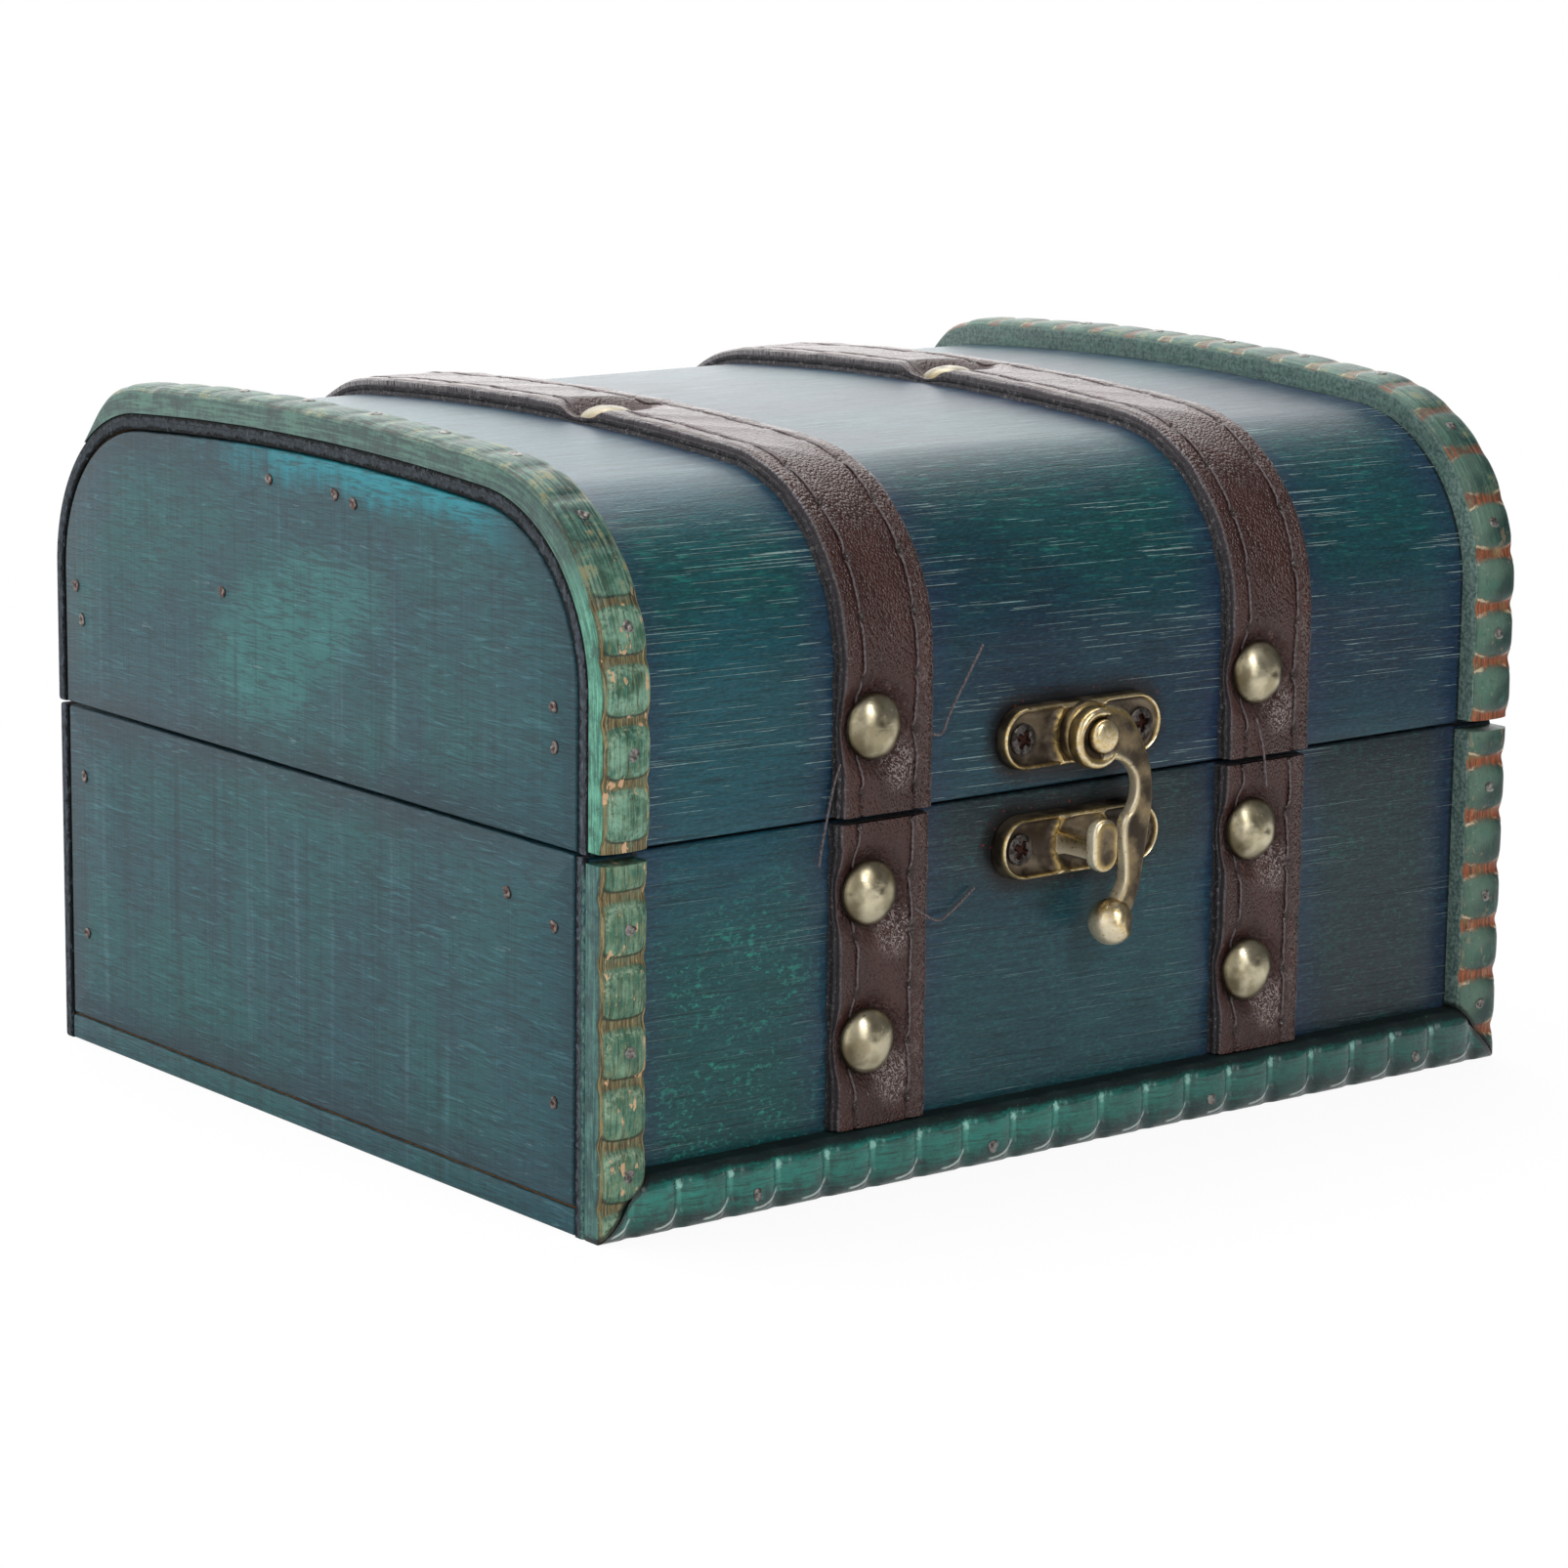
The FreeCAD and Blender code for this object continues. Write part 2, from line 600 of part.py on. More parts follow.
trim_brad_depth = S.trim_brad_length - S.brad_proud
skin_brad_depth = S.skin_brad_length - S.brad_proud
front_trim_places = base_trim_places + bottom_trim_places
piece("base_trim_brads", brads("base_trim_brads", front_trim_places, S.trim_brad_length))
piece("lid_trim_brads", brads("lid_trim_brads", lid_trim_places, S.trim_brad_length))
piece("base_end_brads", brads("base_end_brads", base_skin_places, S.skin_brad_length))
piece("lid_end_brads", brads("lid_end_brads", lid_skin_places, S.skin_brad_length))
base_trim_bores = bores("base_trim_bores", base_trim_places, S.brad_radius, trim_brad_depth)
bottom_trim_bores = bores("bottom_trim_bores", bottom_trim_places, S.brad_radius, trim_brad_depth)
lid_trim_bores = bores("lid_trim_bores", lid_trim_places, S.brad_radius, trim_brad_depth)
base_skin_bores = bores("base_skin_bores", base_skin_places, S.brad_radius, skin_brad_depth)
lid_skin_bores = bores("lid_skin_bores", lid_skin_places, S.brad_radius, skin_brad_depth)

# Base: bottom board, sheets and ends

board_height = S.split_height - S.bottom_thickness
bottom_blank = block("bottom_blank", (-half_length, -inner_depth / 2, 0),
                     (S.body_length, inner_depth, S.bottom_thickness))
piece("bottom_panel", cut("bottom_panel", bottom_blank, bottom_trim_bores))
sheet_sizes = (S.body_length, S.wall, S.split_height)
front_blank = block("front_blank", (-half_length, -base_face, 0), sheet_sizes)
piece("base_front_wall", cut("base_front_wall", front_blank, base_tack_bores, catch_screw_bores,
                             base_trim_bores, bottom_trim_bores))
back_blank = block("back_blank", (-half_length, base_face - S.wall, 0), sheet_sizes)
piece("base_back_wall", cut("base_back_wall", back_blank, base_hinge_bores))

skin_inside = half_length - S.skin_thickness
board_inside = skin_inside - S.board_thickness
for side, sign in SIDES:
    board_x = board_inside if sign > 0 else -skin_inside
    skin_x = skin_inside if sign > 0 else -half_length
    board = block(f"base_board_{side}_blank", (board_x, -inner_depth / 2, S.bottom_thickness),
                  (S.board_thickness, inner_depth, board_height))
    piece(f"base_end_board_{side}", cut(f"base_end_board_{side}", board, base_trim_bores, base_skin_bores))
    skin = block(f"base_skin_{side}_blank",
                 (skin_x, -inner_depth / 2 + S.skin_gap, S.bottom_thickness + S.skin_gap),
                 (S.skin_thickness, inner_depth - 2 * S.skin_gap, board_height - S.skin_gap))
    piece(f"base_end_panel_{side}", cut(f"base_end_panel_{side}", skin, base_skin_bores))

# Lid: bent sheet and ends

lid_blank = lid_band("lid_blank", -half_length, S.body_length, -S.wall, 0, lid_bottom)
piece("lid_shell", cut("lid_shell", lid_blank, lid_tack_bores, hook_screw_bores, lid_trim_bores,
                       lid_hinge_bores))
for side, sign in SIDES:
    board_x = board_inside if sign > 0 else -skin_inside
    skin_x = skin_inside if sign > 0 else -half_length
    board = lid_slab(f"lid_board_{side}_blank", board_x, S.board_thickness, -S.wall)
    piece(f"lid_end_board_{side}", cut(f"lid_end_board_{side}", board, lid_trim_bores, lid_skin_bores))
    skin = lid_slab(f"lid_skin_{side}_blank", skin_x, S.skin_thickness, -S.wall - S.skin_gap)
    piece(f"lid_end_panel_{side}", cut(f"lid_end_panel_{side}", skin, lid_skin_bores))

# Beaded trims

valley_rise = S.trim_height - S.valley_depth + S.valley_radius


def on_crest(edge):
    """A trim's long edge at the crest of the base's front."""
    straight = isinstance(edge.Curve, Part.Line)
    flat = abs(edge.BoundBox.YMin + base_crest.value) < TOUCHING and edge.BoundBox.YLength < TOUCHING
    level = min(edge.BoundBox.XLength, edge.BoundBox.ZLength) < TOUCHING
    long_enough = edge.Length > S.trim_width.value * 2
    return straight and flat and level and long_enough


def valleys(name, places, across):
    """Round cuts across a trim, each from its place along a direction, long enough to pass both edges."""
    length = 3 * S.trim_width.value
    half = across * (length / 2)
    return placed(name, [Part.makeCylinder(S.valley_radius.value, length, place - half, across)
                         for place in places])


upright_valleys = steps(S.bead_start.value, trim_top.value, S.bead_pitch.value)
for side, sign in SIDES:
    outside = sign * half_length
    inside = sign * (half_length - S.trim_width)
    corners = [(outside, 0), (outside, trim_top), (inside, trim_top), (inside, S.trim_width)]
    trim = padded(f"base_trim_{side}_blank", "XZ_Plane", base_face, S.trim_height, corners)
    rounded(trim, S.trim_round, on_crest)
    middles = [Vector(sign * trim_x.value, -(base_face + valley_rise).value, height)
               for height in upright_valleys]
    grooves = valleys(f"base_trim_{side}_valleys", middles, Vector(1, 0, 0))
    piece(f"base_trim_{side}", cut(f"base_trim_{side}", trim, grooves, base_trim_bores))

corners = [(-half_length, 0), (half_length, 0), (half_length - S.trim_width, S.trim_width),
           (S.trim_width - half_length, S.trim_width)]
trim = padded("bottom_trim_blank", "XZ_Plane", base_face, S.trim_height, corners)
rounded(trim, S.trim_round, on_crest)
bottom_valleys = steps(S.bead_start.value, S.body_length.value, S.bead_pitch.value)
middles = [Vector(run - half_length.value, -(base_face + valley_rise).value, S.trim_width.value / 2)
           for run in bottom_valleys]
grooves = valleys("bottom_trim_valleys", middles, Vector(0, 0, 1))
piece("bottom_trim", cut("bottom_trim", trim, grooves, bottom_trim_bores))


def on_lid_crest(edge):
    """A lid trim's long edge, at the outer offset."""
    crest_radii = [(radius + S.trim_height).value for radius in (S.corner_radius, S.crown_radius)]
    if isinstance(edge.Curve, Part.Circle):
        return any(abs(edge.Curve.Radius - radius) < TOUCHING for radius in crest_radii)
    upright = edge.BoundBox.ZLength > TOUCHING
    return upright and abs(abs(edge.BoundBox.YMin) - (lid_face + S.trim_height).value) < TOUCHING


def tail_tools(side, x):
    """What ends a lid trim at the back: a slope that thins it out, and all that lies behind its foot."""
    run = lid_run(0)[1] + S.tail_wrap.value
    foot = lid_place(x, run, 0).Base
    head = lid_place(x, run - S.tail_taper.value, S.trim_height.value).Base
    slope = (foot - head).normalize()
    out = Vector(1, 0, 0).cross(slope)
    reach = S.body_depth.value
    width = 2 * S.trim_width.value
    wedge = Part.makeBox(width, reach, reach, Vector(-width / 2, -reach, 0))
    wedge.Placement = Placement(foot, Rotation(Vector(1, 0, 0), slope, -out if out.z < 0 else out, "XYZ"))
    behind = Part.makeBox(width, reach, reach, Vector(x - width / 2, foot.y, 0))
    return placed(f"lid_trim_{side}_tail", [wedge.fuse(behind)])


lid_valley_runs = steps(S.lid_bead_start.value, lid_run(valley_rise.value)[1], S.bead_pitch.value)
for side, sign in SIDES:
    edge_x = half_length - S.trim_width if sign > 0 else -half_length
    trim_foot = lid_bottom + S.trim_gap
    trim = lid_band(f"lid_trim_{side}_blank", edge_x, S.trim_width, 0, S.trim_height, trim_foot)
    rounded(trim, S.trim_round, on_lid_crest)
    middle_x = sign * trim_x.value
    middles = [lid_place(middle_x, run, valley_rise.value).Base for run in lid_valley_runs]
    grooves = valleys(f"lid_trim_{side}_valleys", middles, Vector(1, 0, 0))
    tail = tail_tools(side, middle_x)
    piece(f"lid_trim_{side}", cut(f"lid_trim_{side}", trim, tail, grooves, lid_trim_bores))

# Straps: a leather face on a leather backing, tacked to the sheets

strap_foot = S.trim_width + S.strap_gap
strap_top = S.split_height - S.strap_gap
lid_strap_foot = lid_bottom + S.strap_gap
STRAP_LAYERS = (("backing", as_size(0), S.strap_backing), ("face", S.strap_backing, S.strap_face))
strap_tail = block("strap_tail", (-half_length, S.corner_radius, lid_bottom),
                   (S.body_length, S.body_depth, S.strap_back_lift))
for side, _ in SIDES:
    edge_x = strap_x[side] - S.strap_width / 2
    for layer, inner, thickness in STRAP_LAYERS:
        outer = inner + thickness
        name = f"base_strap_{layer}_{side}"
        strip = block(f"{name}_blank", (edge_x, -base_face - outer, strap_foot),
                      (S.strap_width, thickness, strap_top - strap_foot))
        piece(name, cut(name, strip, base_tack_bores, base_tack_dents))
        name = f"lid_strap_{layer}_{side}"
        strip = lid_band(f"{name}_blank", edge_x, S.strap_width, inner, outer, lid_strap_foot)
        piece(name, cut(name, strip, lid_tack_bores, lid_tack_dents, strap_tail))

# Latch


def stadium(name, distance, thickness, width, height, across=0, up=0):
    """A plate with straight sides and round ends, upright in front of the chest."""
    ends = height / 2
    straight = width / 2 - ends
    quarter = math.sqrt(0.5)
    corners = [(-straight, -ends), (straight, -ends), (straight + ends * quarter, -ends * quarter),
               (straight + ends * quarter, ends * quarter), (straight, ends), (-straight, ends),
               (-straight - ends * quarter, ends * quarter), (-straight - ends * quarter, -ends * quarter)]
    arcs = {side: ends for side in (1, 2, 3, 5, 6, 7)}
    return padded(name, "XZ_Plane", distance, thickness, corners, arcs, across, up)


def dished_plate(name, face, height):
    """A latch plate on a face, with its front dished inside a rim."""
    blank = stadium(f"{name}_blank", face, S.plate_thickness, S.plate_length, S.plate_height, 0, height)
    dish = stadium(f"{name}_dish", face + dish_seat, S.plate_thickness, S.plate_length - 2 * S.plate_rim,
                   S.plate_height - 2 * S.plate_rim, 0, height)
    return cut(f"{name}_dished", blank, dish)


boss = rod("hook_boss", (0, -lid_face, pivot_height), TO_FRONT, S.boss_radius, S.boss_height)
hook_plate = joined("hook_plate_blank", dished_plate("hook_plate", lid_face, pivot_height), boss)
rivet_bore = rod("rivet_bore", (0, -lid_face, pivot_height), TO_FRONT, S.rivet_radius, S.boss_height)
piece("hook_plate", cut("hook_plate", hook_plate, rivet_bore, hook_screw_bores))

rivet_length = hook_back + S.hook_thickness + S.hook_gap
rivet = headed("hook_rivet", S.rivet_head, S.rivet_dome, S.rivet_radius, rivet_length)
rivet.Placement = Placement(Vector(), Rotation(Vector(0, 0, 1), TO_FRONT))
bind(rivet, PLACES, (0, -lid_face - rivet_length, pivot_height))
piece("hook_rivet", rivet)

neck = S.ball_side + S.ball_radius / 2
root = S.eye_radius * ROOT_SHARE
arm_corners = [
    (root, root),
    (root, -root),
    (S.hook_cusp, -S.hook_bend_drop),
    (neck, -S.neck_drop),
    (S.ball_side, S.ball_radius / 2 - S.ball_drop),
    (S.ball_side + S.ball_radius * END_SHARE, -S.ball_drop),
    (neck + S.neck_width, -S.neck_drop),
    (S.hook_reach, -S.hook_bend_drop),
]
arm = padded("hook_arm", "XZ_Plane", lid_face + hook_back, S.hook_thickness, arm_corners,
             {1: -S.hook_throat, 7: S.hook_bend}, 0, pivot_height)
eye = rod("hook_eye", (0, -lid_face - hook_back, pivot_height), TO_FRONT, S.eye_radius, S.hook_thickness)
ball = doc.addObject("Part::Sphere", "hook_ball")
ball.Placement = Placement(Vector(), Rotation(Vector(-1, 0, 0), Vector(0, 0, 1), TO_BACK, "ZXY"))
bind(ball, ("Radius",), (S.ball_radius,))
ball_y = -lid_face - hook_back - S.hook_thickness / 2 - S.ball_out
bind(ball, PLACES, (S.ball_side, ball_y, pivot_height - S.ball_drop))
eye_bore = rod("hook_eye_bore", (0, -lid_face - hook_back, pivot_height), TO_FRONT,
               S.rivet_radius + S.rivet_clearance, S.hook_thickness)
piece("latch_hook", cut("latch_hook", joined("hook_blank", arm, eye, ball), eye_bore))

post_root = (-S.post_side, -base_face, catch_height)
post = rod("post_bar", post_root, TO_FRONT, S.post_radius, S.post_reach)
tab_back = base_face + S.post_reach - S.tab_thickness
tab = stadium("post_tab", tab_back, S.tab_thickness, S.tab_height, S.tab_width)
tab.Placement = Placement(Vector(), Rotation(TO_FRONT, 90))
bind(tab, PLACES, (-S.post_side, 0, catch_height))
piece("catch_post", joined("catch_post", post, tab))
post_bore = rod("post_bore", post_root, TO_FRONT, S.post_radius, S.plate_thickness)
piece("catch_plate", cut("catch_plate", dished_plate("catch_plate", base_face, catch_height), post_bore,
                         catch_screw_bores))

# Hinges


def leaf(name, x, face, up, knuckles, bore):
    """A hinge leaf on the back, above or below the pin, with its knuckles at their share of the hinge."""
    share = S.hinge_width / 3
    edge = S.knuckle_radius + S.knuckle_gap
    low = hinge_z + edge if up else hinge_z - S.leaf_height
    plate = block(f"{name}_plate", (x - S.hinge_width / 2, face, low),
                  (S.hinge_width, S.leaf_thickness, S.leaf_height - edge))
    solids = [plate]
    for place in knuckles:
        start = x - S.hinge_width / 2 + place * share + S.knuckle_gap / 2
        length = share - S.knuckle_gap
        solids.append(rod(f"{name}_knuckle_{place}", (start, hinge_y, hinge_z), Vector(1, 0, 0),
                          S.knuckle_radius, length))
        solids.append(block(f"{name}_web_{place}", (start, face, hinge_z if up else hinge_z - edge),
                            (length, hinge_y - face, edge)))
    whole = joined(f"{name}_whole", *solids)
    pin_end = (x - S.hinge_width / 2, hinge_y, hinge_z)
    pin_bore = rod(f"{name}_bore", pin_end, Vector(1, 0, 0), bore, S.hinge_width)
    return cut(name, whole, pin_bore, lid_hinge_bores if up else base_hinge_bores)


for side, sign in SIDES:
    x = sign * hinge_center
    name = f"hinge_base_leaf_{side}"
    piece(name, leaf(name, x, base_face, False, (0, 2), S.pin_radius))
    name = f"hinge_lid_leaf_{side}"
    piece(name, leaf(name, x, lid_face, True, (1,), S.pin_radius + S.pin_clearance))
    name = f"hinge_pin_{side}"
    piece(name, rod(name, (x - S.hinge_width / 2 - S.pin_proud, hinge_y, hinge_z), Vector(1, 0, 0),
                    S.pin_radius, S.hinge_width + 2 * S.pin_proud))

# Checks and files

doc.recompute()
for item in doc.Objects:
    if {"Invalid", "Error"} & set(item.State):
        raise RuntimeError(f"{item.Label} did not build: {item.State}")
for name, item in pieces.items():
    if item.Shape.isNull() or not item.Shape.isValid() or item.Shape.Volume <= 0:
        raise RuntimeError(f"{name} has no valid solid")
os.makedirs("parts", exist_ok=True)
for name, item in pieces.items():
    item.Shape.exportStep(os.path.join("parts", f"{name}.step"))
    print(name, len(item.Shape.Solids), round(item.Shape.Volume, 1))
print(len(pieces), "sub-parts")
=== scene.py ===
"""Treasure chest box: a small stained chest with beaded trims, leather straps and a brass hook latch.

Lengths are in metres in the frame of the packed model: +X along the front to the right, +Y to the back, +Z up.
A grid of points has its rows along a piece and its columns round it. A run is a length along a path.
"""

import json

import bpy
import numpy as np
from bpy.props import FloatProperty, FloatVectorProperty, PointerProperty
from mathutils import Matrix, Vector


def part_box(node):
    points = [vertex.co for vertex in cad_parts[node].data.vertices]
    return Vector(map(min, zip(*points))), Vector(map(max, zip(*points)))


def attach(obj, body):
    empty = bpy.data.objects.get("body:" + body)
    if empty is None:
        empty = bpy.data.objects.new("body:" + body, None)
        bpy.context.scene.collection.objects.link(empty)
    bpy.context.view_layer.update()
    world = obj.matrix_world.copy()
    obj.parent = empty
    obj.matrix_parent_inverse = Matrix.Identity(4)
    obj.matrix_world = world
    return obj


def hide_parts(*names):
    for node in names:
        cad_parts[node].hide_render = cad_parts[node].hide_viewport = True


bl_info = {
    "name": "Treasure Chest",
    "version": (1, 0, 0),
    "blender": (4, 5, 0),
    "location": "View3D > Sidebar > Chest",
    "description": "Dresses a keepsake chest: stained sheets, beaded trims, straps, tacks and a hook latch",
    "category": "Add Mesh",
}

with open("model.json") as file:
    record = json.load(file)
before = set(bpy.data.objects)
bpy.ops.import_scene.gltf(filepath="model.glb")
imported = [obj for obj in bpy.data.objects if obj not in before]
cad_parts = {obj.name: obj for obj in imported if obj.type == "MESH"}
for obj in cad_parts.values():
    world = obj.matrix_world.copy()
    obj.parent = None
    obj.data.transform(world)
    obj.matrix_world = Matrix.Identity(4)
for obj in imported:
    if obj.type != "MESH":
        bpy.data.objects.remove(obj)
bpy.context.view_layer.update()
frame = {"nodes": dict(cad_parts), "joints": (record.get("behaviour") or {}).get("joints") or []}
MM = 0.001
X, Y, Z = np.eye(3)
SIDES = (("left", -1), ("right", 1))


def corners(node):
    """Lowest and highest corner of a node of the frame."""
    return tuple(np.array(corner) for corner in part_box(node))


def points_of(thing):
    """The points of an object's mesh."""
    points = np.empty(len(thing.data.vertices) * 3, np.float32)
    thing.data.vertices.foreach_get("co", points)
    return points.reshape(-1, 3)


def solids(node):
    """Box of each separate solid of a node: the lowest label spreads over shared points until nothing changes."""
    mesh = frame["nodes"][node].data
    points = points_of(frame["nodes"][node])
    used = np.empty(len(mesh.loops), np.int32)
    mesh.loops.foreach_get("vertex_index", used)
    _, shared = np.unique(np.round(points, 6), axis=0, return_inverse=True)
    triangles = shared.reshape(-1)[used].reshape(-1, 3)
    labels = np.arange(shared.max() + 1)
    spread = None
    while spread is None or (spread != labels).any():
        labels = labels if spread is None else spread
        spread = labels.copy()
        np.minimum.at(spread, triangles, labels[triangles].min(axis=1)[:, None])
    group = labels[shared.reshape(-1)]
    return [(points[group == one].min(axis=0), points[group == one].max(axis=0)) for one in np.unique(group)]


def middles(node):
    """Middle of each separate solid of a node."""
    return [(low + high) / 2 for low, high in solids(node)]


# Sizes that the frame gives

front_low, front_high = corners("base_front_wall")
lid_low, lid_high = corners("lid_shell")
trim_low, trim_high = corners("base_trim_left")
plate_low, plate_high = corners("catch_plate")
HALF_LENGTH = front_high[0]
BASE_FACE = -front_low[1]
WALL = front_high[1] - front_low[1]
SPLIT = front_high[2]
LID_FACE = -lid_low[1]
LID_BOTTOM = lid_low[2]
CROWN = lid_high[2]
TRIM_WIDTH = trim_high[0] - trim_low[0]
TRIM_CREST = -trim_low[1] - BASE_FACE
STRAP_WIDTH = np.ptp(corners("base_strap_face_left"), axis=0)[0]
STRAP_CENTER = np.mean(corners("base_strap_face_right"), axis=0)[0]
STRAP_BACKING = np.ptp(corners("base_strap_backing_left"), axis=0)[1]
STRAP_TOP = -corners("base_strap_face_left")[0][1] - BASE_FACE
PIVOT = next(np.array(joint["pos_m"]) for joint in frame["joints"] if joint["name"] == "hook_swing")
CATCH_HEIGHT = (plate_low[2] + plate_high[2]) / 2
BORDER = 14 * MM  # width of the end panels' shaded borders
BEAD_STEP = 0.3 * MM  # length of a row of faces on the beaded trims


# Settings


def length(name, millimetres, description):
    """A length that a user may change."""
    return FloatProperty(name=name, description=description, default=millimetres * MM, subtype="DISTANCE",
                         unit="LENGTH", precision=5)


def tilt(name, degrees, description):
    """An angle that a user may change."""
    return FloatProperty(name=name, description=description, default=np.radians(degrees), subtype="ANGLE")


def linear(code):
    """A colour written as on a screen, turned into light."""
    shown = np.array([int(code[place:place + 2], 16) for place in (1, 3, 5)]) / 255
    return tuple(np.where(shown <= 0.04045, shown / 12.92, ((shown + 0.055) / 1.055) ** 2.4))


def colour(name, code, description):
    """A colour that a user may change."""
    return FloatVectorProperty(name=name, description=description, default=linear(code), subtype="COLOR",
                               size=3, min=0, max=1)


class BodySizes(bpy.types.PropertyGroup):
    """Sizes of the chest's sheets and boards."""

    corner_radius: length("Corner radius", 27, "Bend of the lid sheet at front and back")
    crown_radius: length("Crown radius", 650, "Slight arch of the lid's top")
    edge_round: length("Edge rounding", 0.5, "Rounding of the sheets' and boards' edges")
    panel_gap: length("Panel gap", 0.3, "Gap round an outer end panel")


class TrimSizes(bpy.types.PropertyGroup):
    """Sizes of the beaded trims."""

    width: length("Trim width", 8.3, "Width of an upright trim")
    wall: length("Trim wall", 2.9, "Flat flank of a trim under its beads")
    pitch: length("Bead pitch", 8.9, "Bead to bead")
    base_start: length("First base valley", 5.3, "First valley from the floor or the left end")
    lid_start: length("First lid valley", 10.2, "First valley above the lid's lower edge")
    valley_rise: length("Valley rise", 5.1, "Height above the sheet at which the pitch is measured")
    bead: length("Bead height", 1.0, "Height of a bead over the strip that carries it")
    bottom_bead: length("Bottom bead height", 0.75, "Height of a bead on the bottom trim")
    gap: length("Split gap", 0.6, "Trim's end short of the sheet's edge at the split")
    mitre_gap: length("Mitre gap", 0.12, "Gap at a mitred corner")
    tail_wrap: length("Tail wrap", 17, "Lid trim round the back corner")
    tail_taper: length("Tail taper", 12, "Length over which the lid trim thins out")


class StrapSizes(bpy.types.PropertyGroup):
    """Sizes of the straps and their sewing."""

    gap: length("Strap gap", 0.3, "Strap's end short of what it runs up to")
    back_lift: length("Back lift", 10, "Strap's back end above the lid's lower edge")
    seam_inset: length("Seam inset", 3.3, "Seam from the strap's edge")
    seam_depth: length("Seam depth", 0.28, "Groove under the thread")
    stitch: length("Stitch", 8.4, "Hole to hole along a seam")
    thread: length("Thread", 0.19, "Radius of the sewing thread")
    overhang: length("Overhang", 0.45, "Backing beyond the face's edge")
    dent: length("Dent", 1.6, "Strap pressed in round a tack")
    top_dent: length("Top dent", 2.0, "Strap pressed in round a tack on the lid's top")
    dent_reach: length("Dent reach", 9.0, "How far from a tack its dent spreads")


class LatchSizes(bpy.types.PropertyGroup):
    """Sizes of the latch."""

    hook_rise: length("Hook plate", 2.2, "Thickness of the plate on the lid")
    catch_rise: length("Catch plate", 2.8, "Thickness of the plate on the base")
    boss: length("Boss", 3.6, "Boss under the hook's eye")
    post_short: length("Post drawn in", 0.9, "Post short of its place in the frame")
    tab: length("Tab", 2.3, "Thickness of the post's head")
    tab_lift: length("Tab lift", 1.0, "Post's head above the bar's middle")


class Finishes(bpy.types.PropertyGroup):
    """Colours of the chest."""

    deep: colour("Deep stain", "#132f43", "Blue stain of the sheets")
    teal: colour("Teal stain", "#184752", "Teal stain of the sheets")
    green: colour("Green stain", "#0a4a48", "Green band under the lid's bend")
    speckle: colour("Speckle", "#2c9080", "Green mottling of the sheets")
    charcoal: colour("Charcoal", "#232b2d", "Dark wash under the split")
    violet: colour("Violet", "#2b3556", "Violet wash beside the straps and trims")
    pore: colour("Pores", "#b4cdc8", "Pale open pores of the veneer")
    panel: colour("End stain", "#1d414a", "Stain of the end panels")
    panel_teal: colour("End teal", "#194a4c", "Teal wash of the end panels")
    turquoise: colour("Turquoise", "#0a7985", "Bright wash near the end panels' top")
    edge: colour("Sheet edge", "#424a53", "Raw edges of the sheets")
    trim_green: colour("Trim green", "#3c6a57", "Paint of the trims")
    trim_light: colour("Trim light", "#78997f", "Thin paint of the trims")
    trim_dark: colour("Trim dark", "#1d3a31", "Thick paint of the trims")
    emerald: colour("Emerald", "#137468", "Paint of the bottom trim")
    valley: colour("Valley", "#5b4426", "Stain in the valleys between the beads")
    rust_wash: colour("Rust wash", "#a5532a", "Orange stain in the right trims' valleys")
    chip: colour("Chip", "#d2a983", "Bare wood where paint is chipped")
    leather: colour("Leather", "#321711", "Face of the straps")
    backing: colour("Backing", "#4d4a4e", "Raw edge of the straps")
    thread: colour("Thread", "#6f6465", "Sewing thread")
    brass: colour("Brass", "#c0a468", "Bright worn brass")
    patina: colour("Patina", "#3b3229", "Dark patina in the latch's hollows")
    tack: colour("Tack", "#bfb69c", "Tacks")
    steel: colour("Steel", "#8d8a86", "Brads and screws")
    rust: colour("Rust", "#341d17", "Rust in the screws' recesses")
    wood: colour("Inner wood", "#a8794c", "Bare wood inside")
    wood_dark: colour("Inner grain", "#7c532f", "Dark grain of the bare wood")


def settings(name):
    """The named group of settings on the scene."""
    return getattr(bpy.context.scene, "chest_" + name)


# Meshes


